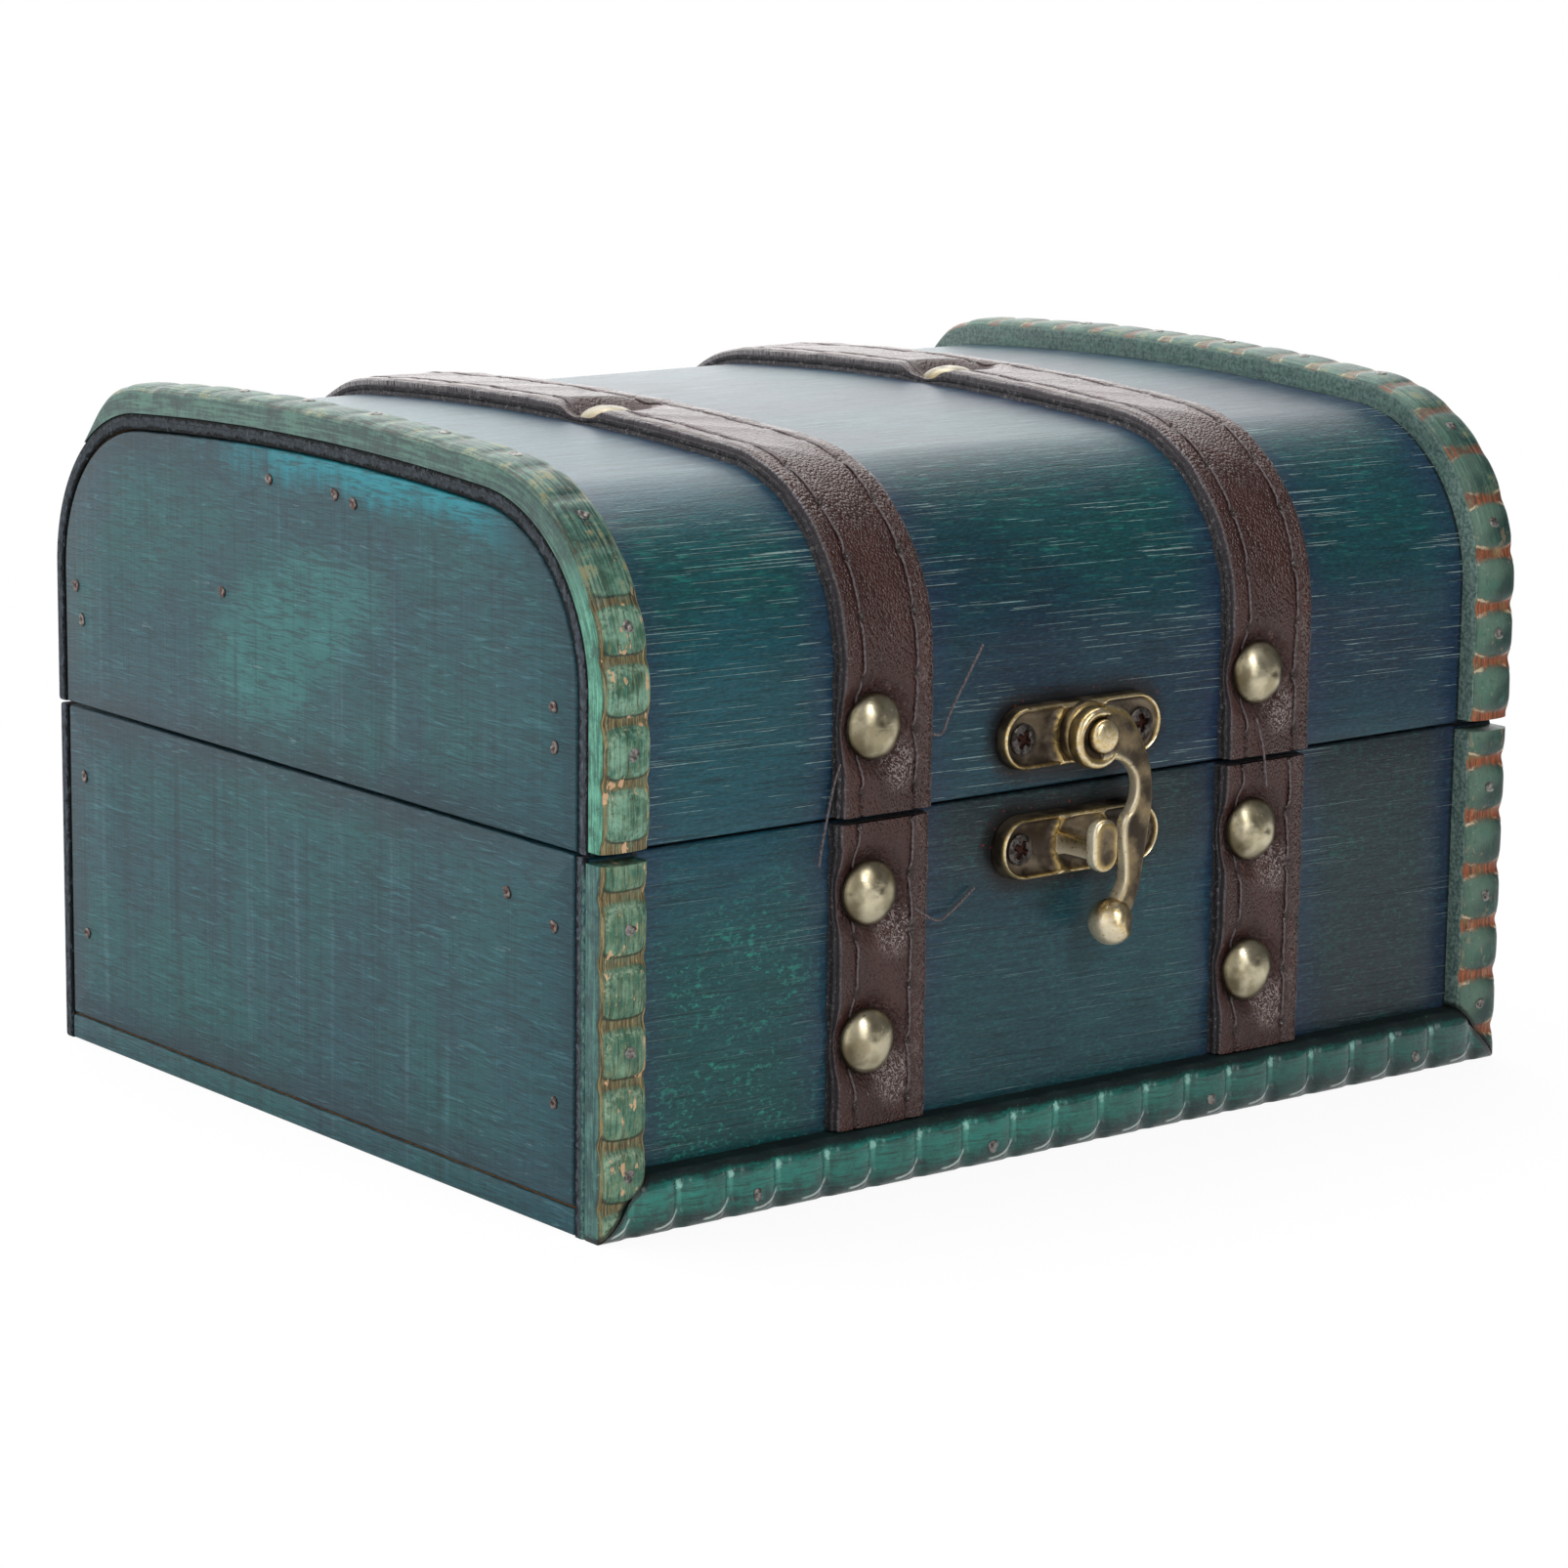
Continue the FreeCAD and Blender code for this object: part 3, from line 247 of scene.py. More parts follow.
class Skin:
    """Closed shells gathered into one mesh, with marks and a map from metres to the pattern."""

    def __init__(self):
        self.points, self.quads, self.triangles = [], [], []
        self.quad_finish, self.triangle_finish = [], []
        self.maps, self.marks = [], []
        self.count = 0

    def shell(self, grid, finish=0, ends=(0, 0), closed=False, pattern=None, **marks):
        """Adds quads through a grid, closed round its columns. Its end rows are filled by fans about their
        middles, or joined to each other. A shell whose signed volume is under zero is turned right way out."""
        rows, columns = grid.shape[:2]
        index = np.arange(rows * columns).reshape(rows, columns)
        after = np.roll(index, -1, axis=1)
        low, high = (index, np.roll(index, -1, axis=0)) if closed else (index[:-1], index[1:])
        low_after, high_after = (after, np.roll(after, -1, axis=0)) if closed else (after[:-1], after[1:])
        quads = np.stack([low, low_after, high_after, high], axis=-1).reshape(-1, 4)
        points = grid.reshape(-1, 3)
        triangles = np.empty((0, 3), int)
        if not closed:
            points = np.concatenate([points, grid[[0, -1]].mean(axis=1)])
            first = np.stack([after[0], index[0], np.full(columns, rows * columns)], axis=-1)
            last = np.stack([index[-1], after[-1], np.full(columns, rows * columns + 1)], axis=-1)
            triangles = np.concatenate([first, last])
        solid = np.concatenate([quads[:, :3], quads[:, [0, 2, 3]], triangles])
        a, b, c = (points[solid[:, corner]] for corner in range(3))
        if np.einsum("ij,ij->i", a, np.cross(b, c)).sum() < 0:
            quads, triangles = quads[:, ::-1], triangles[:, ::-1]
        self.points.append(points)
        self.quads.append(quads + self.count)
        self.triangles.append(triangles + self.count)
        self.quad_finish.append(np.broadcast_to(finish, (len(low), columns)).reshape(-1))
        self.triangle_finish.append(np.repeat(ends, columns) if not closed else np.empty(0, int))
        self.maps.append(self.spread(grid[..., [0, 2]] if pattern is None else pattern, closed))
        self.marks.append({name: self.spread(np.broadcast_to(mark, (rows, columns))[..., None], closed)
                           for name, mark in marks.items()})
        self.count += len(points)

    @staticmethod
    def spread(values, closed):
        """Values on a grid, with the mean of each end row for the middle of its fan."""
        flat = values.reshape(-1, values.shape[-1])
        return flat if closed else np.concatenate([flat, values[[0, -1]].mean(axis=1)])

    def thing(self, name, finishes, sharp):
        """The gathered mesh as an object of the scene, smooth but for edges sharper than an angle in degrees."""
        points, quads, triangles = (np.concatenate(part) for part in (self.points, self.quads, self.triangles))
        loops = np.concatenate([quads.reshape(-1), triangles.reshape(-1)])
        starts = np.concatenate([np.arange(len(quads)) * 4, len(quads) * 4 + np.arange(len(triangles)) * 3])
        numbers = np.concatenate(self.quad_finish + self.triangle_finish)
        mesh = bpy.data.meshes.new(name)
        for kind, count in ((mesh.vertices, len(points)), (mesh.loops, len(loops)), (mesh.polygons, len(starts))):
            kind.add(count)
        mesh.vertices.foreach_set("co", points.astype(np.float32).reshape(-1))
        mesh.loops.foreach_set("vertex_index", loops.astype(np.int32))
        mesh.polygons.foreach_set("loop_start", starts.astype(np.int32))
        mesh.polygons.foreach_set("material_index", numbers.astype(np.int32))
        mesh.update(calc_edges=True)
        pattern = mesh.uv_layers.new(name="pattern")
        pattern.data.foreach_set("uv", np.concatenate(self.maps)[loops].astype(np.float32).reshape(-1))
        for mark in sorted({mark for marks in self.marks for mark in marks}):
            values = [marks.get(mark, np.zeros((len(shell), 1))) for marks, shell in zip(self.marks, self.points)]
            attribute = mesh.attributes.new(mark, "FLOAT", "POINT")
            attribute.data.foreach_set("value", np.concatenate(values).astype(np.float32).reshape(-1))
        mesh.shade_smooth()
        mesh.set_sharp_from_angle(angle=np.radians(sharp))
        for finish in finishes:
            mesh.materials.append(finish)
        thing = bpy.data.objects.new(name, mesh)
        bpy.context.scene.collection.objects.link(thing)
        return thing

    def piece(self, name, body, slot, finishes, *nodes, sharp=40):
        """The mesh as a piece that rides on a body, has a finish slot and stands for nodes of the frame."""
        thing = self.thing(name, finishes, sharp)
        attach(thing, body)
        if nodes:
            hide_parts(*nodes)


def laid(origin, right, up, out, across, along, height):
    """Points from an origin: so far to the right, so far up and so far out."""
    across, along, height = (np.asarray(part)[..., None] for part in np.broadcast_arrays(across, along, height))
    return np.asarray(origin) + across * right + along * up + height * out


def around(count):
    """Angles round a circle, as many as asked for."""
    return np.linspace(0, 2 * np.pi, count, endpoint=False)


def circle(angle):
    """Points at angles on a circle of radius 1."""
    return np.stack([np.cos(angle), np.sin(angle)], axis=-1)


def squared(wave, power):
    """A sine or cosine pushed out towards -1 and 1, for a rounded square: its size to a power under 1."""
    return np.sign(wave) * np.abs(wave) ** power


def unit(vectors):
    """Vectors brought to a length of 1."""
    return vectors / np.linalg.norm(vectors, axis=-1, keepdims=True)


def section(rows):
    """A turned section's radius and height, given in millimetres, and the mark in its third column."""
    rows = np.array(rows)
    return rows[:, :2] * MM, rows[:, 2:]


def turned(profile, origin, out, columns=32, right=None):
    """A round grid: each row is a circle of the profile's radius at its height along the outward axis."""
    out = np.asarray(out, float)
    right = (X if abs(out[0]) < 0.9 else Y) if right is None else right
    up = np.cross(out, right)
    angle = around(columns)
    radius, height = np.asarray(profile, float).T[..., None]
    return laid(origin, right, up, out, radius * np.cos(angle), radius * np.sin(angle), height)


def carried(path, run, across, rise):
    """A profile carried along a path: each point stands on the path at its run, moved across and out by its rise."""
    place, sideways, out = path(run)
    return place + np.asarray(across)[..., None] * sideways + np.asarray(rise)[..., None] * out


def wander(run, seed, wave):
    """A hand-made waver between about -1 and 1: four sine waves of seeded phase, each shorter and lower."""
    phases = np.random.default_rng(seed).uniform(0, 2 * np.pi, 4)
    return sum(np.sin(2 * np.pi * run * (1 + 0.7 * step) / wave + phase) / (1 + step)
               for step, phase in enumerate(phases)) / 1.6


def bell(distance, width):
    """A round bump: 1 at no distance, falling off as the exponential of the squared distance over the width."""
    return np.exp(-((distance / width) ** 2))


def eased(value, low, high):
    """0 below low, 1 above high, and a smooth cubic step between."""
    share = np.clip((value - low) / (high - low), 0, 1)
    return share * share * (3 - 2 * share)


def through(points, count):
    """A smooth curve through points: cubic spans whose slope at a point is half the step between its neighbours."""
    points = np.asarray(points, float)
    ends = np.concatenate([2 * points[:1] - points[1:2], points, 2 * points[-1:] - points[-2:-1]])
    place = np.linspace(0, len(points) - 1, count)
    span = np.minimum(place.astype(int), len(points) - 2)
    share = (place - span)[:, None]
    before, start, end, beyond = (ends[span + step] for step in range(4))
    return (start + 0.5 * share * (end - before
            + share * (2 * before - 5 * start + 4 * end - beyond
                       + share * (3 * (start - end) + beyond - before))))


# The lid's section


def lid_breaks(rise):
    """Runs along the lid's face, moved out by a rise, at which it goes from upright to bend, top, bend and upright."""
    sizes = settings("body")
    bend_y = LID_FACE - sizes.corner_radius
    crown_z = CROWN - sizes.crown_radius
    bend_z = crown_z + np.sqrt((sizes.crown_radius - sizes.corner_radius) ** 2 - bend_y**2)
    bend_angle = np.arctan2(bend_z - crown_z, bend_y)
    upright = bend_z - LID_BOTTOM
    bend = (sizes.corner_radius + rise) * bend_angle
    top = (sizes.crown_radius + rise) * (np.pi - 2 * bend_angle)
    return np.cumsum([0, upright, bend, top, bend, upright]), bend_angle, bend_y, bend_z, crown_z


def lid_path(x):
    """The path over the lid at an x: up the front, round the bend, over the arched top and down the back."""
    sizes = settings("body")
    breaks, bend_angle, bend_y, bend_z, crown_z = lid_breaks(0)
    turns = [0, 0, bend_angle, np.pi - bend_angle, np.pi, np.pi]

    def path(run):
        run = np.asarray(run, float)
        angle = np.interp(run, breaks, turns)
        part = np.searchsorted(breaks[1:-1], run)
        radius = np.choose(part, [sizes.corner_radius, sizes.corner_radius, sizes.crown_radius,
                                  sizes.corner_radius, sizes.corner_radius])
        middle_y = np.choose(part, [-bend_y, -bend_y, 0, bend_y, bend_y])
        middle_z = np.choose(part, [LID_BOTTOM + run, bend_z, crown_z, bend_z, LID_BOTTOM + breaks[-1] - run])
        out = np.stack([np.zeros_like(angle), -np.cos(angle), np.sin(angle)], axis=-1)
        middle = np.stack([np.full_like(angle, x), middle_y, middle_z], axis=-1)
        return middle + out * radius[..., None], X, out

    return path


def lid_runs(counts):
    """Runs over the lid from edge to edge, with a count for each of its five parts."""
    breaks = lid_breaks(0)[0]
    spans = [np.linspace(start, end, count)[:-1] for start, end, count in zip(breaks, breaks[1:], counts)]
    return np.append(np.concatenate(spans), breaks[-1])


def faces_up(out):
    """Whether an outward direction is that of the lid's top."""
    return out[2] > 0.7


def straight(start, along, sideways, out):
    """A straight path from a start, its run along a direction."""
    return lambda run: (np.array(start) + np.asarray(run)[..., None] * along, sideways, out)


def front_path(x):
    """The upright path on the base's front at an x, its run from the floor."""
    return straight((x, -BASE_FACE, 0), Z, X, -Y)


def back_path(x):
    """The upright path on the base's back at an x, its run from the floor."""
    return straight((x, BASE_FACE, 0), Z, -X, Y)


def foot_path(z):
    """The level path along the base's front at a height, its run from the middle to the right."""
    return straight((0, -BASE_FACE, z), X, Z, -Y)


def nearest_run(path, place, far):
    """The run at which a path comes nearest to a place."""
    runs = np.linspace(0, far, 4000)
    return runs[np.argmin(np.linalg.norm(path(runs)[0] - place, axis=-1))]


# Shader nodes


def joining(operation, swapped=False):
    """A method that makes one number of two by a Math node."""

    def join(number, other):
        sockets = {1: number, 0: other} if swapped else {0: number, 1: other}
        return number.finish.number("ShaderNodeMath", 0, {"operation": operation}, sockets)

    return join


class Number:
    """A socket that carries a number, so that shader sums read as Python sums."""

    def __init__(self, finish, socket):
        self.finish = finish
        self.socket = socket

    def __abs__(self):
        return self.finish.number("ShaderNodeMath", 0, {"operation": "ABSOLUTE"}, {0: self})

    __add__ = __radd__ = joining("ADD")
    __mul__ = __rmul__ = joining("MULTIPLY")
    __sub__, __rsub__ = joining("SUBTRACT"), joining("SUBTRACT", swapped=True)
    __truediv__ = joining("DIVIDE")
    __pow__ = joining("POWER")
    least = joining("MINIMUM")
    most = joining("MAXIMUM")


class Coats:
    """A colour with coats laid over it."""

    def __init__(self, finish, first):
        self.finish = finish
        self.socket = getattr(first, "socket", first)

    def coat(self, share, colour):
        """Lays a coat over the colour by its share from 0 to 1."""
        node = self.finish.node("ShaderNodeMix", {"data_type": "RGBA"}, {0: share, 6: self, 7: colour})
        self.socket = node.outputs[2]


class Finish:
    """The nodes of a material or of the world. A colour is given as a code, as light or as its coats."""

    def __init__(self, owner):
        self.owner = owner
        owner.use_nodes = True
        self.tree = owner.node_tree
        self.tree.nodes.clear()

    def node(self, kind, setup=None, sockets=None):
        """A node of a type: its settings are set first, then its sockets get values or links."""
        node = self.tree.nodes.new(kind)
        for key, value in (setup or {}).items():
            setattr(node, key, value)
        for key, value in (sockets or {}).items():
            socket = node.inputs[key]
            if isinstance(value, (Number, Coats)):
                value = value.socket
            if isinstance(value, bpy.types.NodeSocket):
                self.tree.links.new(value, socket)
            elif socket.type == "RGBA":
                socket.default_value = (*(linear(value) if isinstance(value, str) else value), 1)
            else:
                socket.default_value = value
        return node

    def number(self, kind, output, setup=None, sockets=None):
        """One output of a node as a number."""
        return Number(self, self.node(kind, setup, sockets).outputs[output])

    def place(self, source="Object", per_mm=1, turn=(0, 0, 0), shift=(0, 0, 0)):
        """Coordinates of the surface, counted per millimetre."""
        coordinates = self.node("ShaderNodeTexCoord").outputs[source]
        scale = (np.full(3, per_mm) / MM).tolist()
        sockets = {"Vector": coordinates, "Scale": scale, "Rotation": turn, "Location": shift}
        return self.node("ShaderNodeMapping", sockets=sockets).outputs[0]

    def vector(self, *parts):
        """A vector of numbers."""
        return self.node("ShaderNodeCombineXYZ", sockets=dict(enumerate(parts))).outputs[0]

    def parts(self, vector):
        """The three numbers of a vector."""
        return [Number(self, socket) for socket in self.node("ShaderNodeSeparateXYZ", sockets={0: vector}).outputs]

    def noise(self, vector, detail=3.0, rough=0.5, warp=0.0):
        """Cloudy noise."""
        sockets = {"Vector": vector, "Scale": 1.0, "Detail": detail, "Roughness": rough, "Distortion": warp}
        return self.number("ShaderNodeTexNoise", 0, sockets=sockets)

    def blots(self, per_mm, *look, **placing):
        """Noise through the solid, with so many waves per millimetre along X, Y and Z."""
        return self.noise(self.place("Object", per_mm, **placing), *look)

    def strokes(self, per_mm, *look, **placing):
        """Noise over the piece's own map, with so many waves per millimetre across and along it."""
        return self.noise(self.place("UV", per_mm, **placing), *look)

    def cells(self, vector):
        """Distance to the nearest of scattered points."""
        return self.number("ShaderNodeTexVoronoi", "Distance", {"feature": "F1"}, {"Vector": vector, "Scale": 1.0})

    def mark(self, name):
        """A mark that the mesh carries."""
        return self.number("ShaderNodeAttribute", "Fac", {"attribute_name": name})

    def ray(self, kind):
        """1 where the ray that meets the surface is of a kind, or else 0."""
        return self.number("ShaderNodeLightPath", f"Is {kind} Ray")

    def step(self, value, low, high):
        """0 at low, 1 at high, and a smooth step between."""
        sockets = {"Value": value, 1: low, 2: high, 3: 0.0, 4: 1.0}
        return self.number("ShaderNodeMapRange", 0, {"interpolation_type": "SMOOTHSTEP"}, sockets)

    def mix(self, share, first, second):
        """A colour between two colours, ready for more coats."""
        colour = Coats(self, first)
        colour.coat(share, second)
        return colour

    def bump(self, height, distance, strength=1.0):
        """A normal roughened by a height that counts in units of a distance."""
        sockets = {"Strength": strength, "Distance": distance, "Height": height}
        return self.node("ShaderNodeBump", sockets=sockets).outputs[0]

    def surface(self, **sockets):
        """The finished surface."""
        named = {key.replace("_", " ").title().replace("Ior", "IOR"): value for key, value in sockets.items()}
        shader = self.node("ShaderNodeBsdfPrincipled", sockets=named)
        self.node("ShaderNodeOutputMaterial", sockets={0: shader.outputs[0]})
        return self.owner


def finish(recipe):
    """Turns a recipe into a function that makes its material once for each choice, and gives the same one later.
    A recipe gets the material's nodes, the colours and the choice."""
    made = {}

    def give(*choice):
        if choice not in made:
            material = bpy.data.materials.new("_".join((recipe.__name__, *choice)))
            made[choice] = recipe(Finish(material), settings("finishes"), *choice)
        return made[choice]

    give.__doc__ = recipe.__doc__
    return give


# Finishes

# Near blacks of the stained sheets, as light: beside the trims, in the grain, in the slits, and grime with painted
# shade round the latch
JOINT_BLACK, GRAIN_BLACK = (0.004, 0.005, 0.006), (0.002, 0.005, 0.008)
SLIT_BLACK, GRIME_SHADE_BLACK = (0.004, 0.006, 0.007), (0.007, 0.006, 0.006)


@finish
def stain(nodes, paint, part):
    """Blue and teal stain under satin lacquer: long pale pores along a slightly slanting grain, green strokes under
    the bend, sponged green specks on the base and dark grime at the latch."""
    step = nodes.step
    x, run, _ = nodes.parts(nodes.place("UV"))
    _, y, _ = nodes.parts(nodes.place())
    slant = run + x * 0.02

    def grain(across, up, shift, detail=2.0, rough=0.55):
        """Noise drawn out along the grain."""
        return nodes.noise(nodes.vector(x * across + shift, slant * up, shift), detail, rough)

    cloud = nodes.strokes((0.014, 0.022, 1), 3, 0.55)
    wide = nodes.strokes((0.02, 0.03, 1), 2, shift=(4, 9, 0))
    base = nodes.mix(step(cloud, 0.38, 0.62), paint.deep, paint.teal)
    left = step(x + (cloud - 0.5) * 30, -38, -66)
    base.coat(left * 0.45, "#1a606c")
    if part == "lid":
        band = step(run, 20, 36) * (1 - step(run, 44, 66)) * step(wide, 0.36, 0.6)
        specks = step(grain(0.22, 1.5, 5.0, 3), 0.55, 0.68) * band * 0.6
        lines = band * 0.02
        tail = (lid_breaks(0)[0][3] + settings("trim").tail_wrap) / MM
        trimmed = step(run, tail, tail - 2)
        beside = 1.0
        latch_z = (PIVOT[2] - LID_BOTTOM) / MM
    else:
        band = step(x, -20, -62) * step(run, 54, 34) * step(wide, 0.28, 0.5)
        dark = step(run + wide * 22, 44, 62) * step(x, -62, -15)
        base.coat(dark.most(step(x, 42, 60) * 0.9) * 0.85, paint.charcoal)
        base.coat(step(run + (cloud - 0.5) * 30, 50, 20) * step(x, 50, 20) * 0.7, "#1d4c52")
        sponge = nodes.strokes((0.75, 1.0, 1), 5, 0.72)
        patch = nodes.strokes((0.1, 0.14, 1), 2, shift=(6, 1, 0))
        specks = step(sponge + (patch - 0.5) * 0.3, 0.54, 0.63) * (band * 0.8 + 0.2)
        lines = -0.02
        trimmed = beside = step(y, 0, -5)
        latch_z = CATCH_HEIGHT / MM
    base.coat(band * 0.6, paint.green)
    base.coat(specks * 0.7, paint.speckle)
    strap_side = abs(abs(abs(x) - STRAP_CENTER / MM) - STRAP_WIDTH / 2 / MM)
    trim_side = abs(abs(x) - (HALF_LENGTH - TRIM_WIDTH) / MM)
    edge = 1 - step(strap_side.least(trim_side) + wide * 6, 2.5, 11)
    base.coat(edge * beside * 0.55, paint.violet)
    joint = abs(abs(x) - (HALF_LENGTH - settings("trim").width) / MM)
    base.coat(step(joint + (wide - 0.5) * 0.6, 0.75, 0.4) * trimmed * 0.8, JOINT_BLACK)
    thick = nodes.strokes((0.05, 0.09, 1), 2, shift=(7, 2, 0))
    breaks = step(grain(0.1, 2.2, 9.0, 2, 0.7) + (thick - 0.5) * 0.6, 0.5, 0.54)
    pores = step(grain(0.03, 5.6, 0.0, 0) + lines, 0.67, 0.71) * breaks
    base.coat(pores * (0.5 if part == "lid" else 0.2), paint.pore)
    mottle = nodes.strokes((0.8, 1.2, 1), 5, 0.75, shift=(2, 5, 0))
    base.coat(step(mottle, 0.52, 0.66) * 0.22, "#1f6a66")
    streak = grain(0.1, 1.3, 2.0, 4, 0.7)
    weave = nodes.strokes((1.0, 2.6, 1), 3, 0.65)
    shade = step(streak * 0.5 + weave * 0.5, 0.38, 0.62)
    base.coat((1 - shade) * 0.5, GRAIN_BLACK)
    base.coat(step(grain(0.5, 6.0, 4.0, 3, 0.7), 0.56, 0.7) * 0.1, paint.pore)
    slit = step(grain(0.05, 2.4, 11.0), 0.61, 0.68)
    base.coat(slit * 0.5, SLIT_BLACK)
    # A dark ring round the latch plates: grime, and painted shade as if cast by the plates, the boss and the hook
    beyond = (abs(x) - 10.8).most(0.0)
    off = run - latch_z
    gap = (beyond * beyond + off * off) ** 0.5 + (weave - 0.5) * 3 + (cloud - 0.5) * 3
    grime = step(gap, 8.2, 5.0) * step(y, 0, -5)
    base.coat(grime * 0.9, GRIME_SHADE_BLACK)
    fleck = step(nodes.strokes((1.3, 1.3, 1), 0, shift=(3, 3, 0)), 0.76, 0.8) * grime
    base.coat(fleck, "#6c2a28")
    rough = 0.33 + (weave - 0.5) * 0.14 + pores * 0.2 + (1 - shade) * 0.06
    height = shade * 0.6 - pores * 0.5 - slit * 0.5
    return nodes.surface(base_color=base, roughness=rough, coat_weight=0.12, coat_roughness=0.25,
                         specular_ior_level=0.25, normal=nodes.bump(height, 0.00008, 0.6))


@finish
def end_stain(nodes, paint, part):
    """Teal stain on the end panels: wavy brushed ripples, upright streaks, a soft light patch, dark borders and a
    turquoise wash under the lid's top."""
    step = nodes.step
    _, y, z = nodes.parts(nodes.place())
    border = nodes.mark("border")
    cloud = nodes.blots((1, 0.022, 0.026), 4, 0.6)
    blot = nodes.blots((1, 0.07, 0.05), 4, 0.65, shift=(0, 3, 8))
    streak = nodes.blots((1, 0.35, 0.012), 4, 0.65)
    ripple = nodes.blots((1, 0.15, 1.8), 3, 0.6, 1.3, turn=(0.1, 0, 0))
    base = nodes.mix(step(cloud + (blot - 0.5) * 0.5, 0.36, 0.64), paint.panel, paint.panel_teal)
    if part == "lid":
        off_y, off_z = (y - 3) / 24, (z + y * 0.3 - 77) / 13
        patch = step(off_y * off_y + off_z * off_z + (blot - 0.5) * 3 + (streak - 0.5) * 1.5, 1.2, 0.3)
        base.coat(patch * 0.6, "#2a6866")
    base.coat(step(streak, 0.54, 0.72) * 0.35, "#4a6a72")
    base.coat(step(streak, 0.5, 0.32) * 0.6, "#172c33")
    base.coat(step(blot, 0.46, 0.3) * 0.4, "#22363f")
    rim = step(border + (blot - 0.5) * 0.9 + (streak - 0.5) * 0.4, 0.5, 1.1)
    base.coat(rim * 0.75, "#1f2c36")
    front = step(y + (cloud - 0.5) * 30 + (blot - 0.5) * 20, -30, -66)
    base.coat(front * 0.45, "#16424c")
    if part == "lid":
        reach = (1 - border) * BORDER / MM + (streak - 0.5) * 9 + (blot - 0.5) * 9 + (ripple - 0.5) * 3
        along = step(y + (blot - 0.5) * 60 + (streak - 0.5) * 50, 36, -14)
        along = along * step(y, -58, -40) * step(z, 86, 97)
        base.coat(step(reach, 6.5, 0.5) * along * 0.85, paint.turquoise)
    base.coat(step(ripple, 0.52, 0.38) * 0.65, "#102a30")
    base.coat(step(ripple, 0.57, 0.7) * 0.22, "#5a8a92")
    scuff = step(nodes.blots((1, 0.1, 0.7), 4, 0.7, turn=(0.9, 0, 0)), 0.65, 0.7)
    base.coat(scuff * 0.3, "#6d898c")
    height = ripple + streak * 0.5
    return nodes.surface(base_color=base, roughness=0.4 + ripple * 0.2, specular_ior_level=0.2,
                         normal=nodes.bump(height, 0.0003, 0.8))


@finish
def raw_edge(nodes, paint):
    """Raw edges of the stained sheets: slate with light fibres, and ragged black lines along both faces."""
    step = nodes.step
    depth = nodes.mark("depth")
    _, y, z = nodes.parts(nodes.place())
    fibre = nodes.blots((3.0, 0.8, 0.8), 5, 0.7)
    ragged = nodes.blots(0.6, 5, 0.72)
    base = nodes.mix(step(fibre, 0.34, 0.66), "#24292e", paint.edge)
    base.coat(step(z + (ragged - 0.5) * 30, CROWN / MM - 22, CROWN / MM - 6) * 0.5, "#262b2e")
    painted = step(depth + (ragged - 0.5) * 0.5, 0.5, 0.3) * step(y, 0, -20) * step(z, SPLIT / MM, SPLIT / MM - 4)
    base.coat(painted * 0.85, nodes.mix(step(fibre, 0.4, 0.6), "#24474a", "#4f7468"))
    line = step(abs(depth - 0.5) * 2 + (ragged - 0.5) * 2.4, 0.45, 0.7) * (1 - painted)
    base.coat(line * 0.95, "#040506")
    split = step(abs(depth - 0.42 + (ragged - 0.5) * 0.6), 0.06, 0.0) * step(fibre, 0.42, 0.56)
    base.coat(split * 0.8, "#0a0d0f")
    chips = step(nodes.blots((1.6, 1.6, 0.5), 3), 0.62, 0.7)
    base.coat(chips * 0.25, "#7f888a")
    height = fibre + ragged - line * 0.8
    return nodes.surface(base_color=base, roughness=0.7, specular_ior_level=0.1, normal=nodes.bump(height, 0.0004, 0.9))


@finish
def inner_wood(nodes, paint, grain_along):
    """Bare wood inside the chest: straight grain along one direction, with soft dark rings and short pores."""

    def drawn(along, across):
        """Coordinates drawn out along the grain."""
        return nodes.place(per_mm=[along if axis == grain_along else across for axis in "xyz"])

    grain = nodes.noise(drawn(0.012, 0.35), 4, 0.6, 0.6)
    base = nodes.mix(nodes.step(grain, 0.35, 0.65), paint.wood, paint.wood_dark)
    pores = nodes.step(nodes.noise(drawn(0.12, 2.4), 2), 0.6, 0.7)
    base.coat(pores * 0.5, "#4e331d")
    return nodes.surface(base_color=base, roughness=0.62 + pores * 0.15, normal=nodes.bump(grain - pores, 0.0001, 0.4))


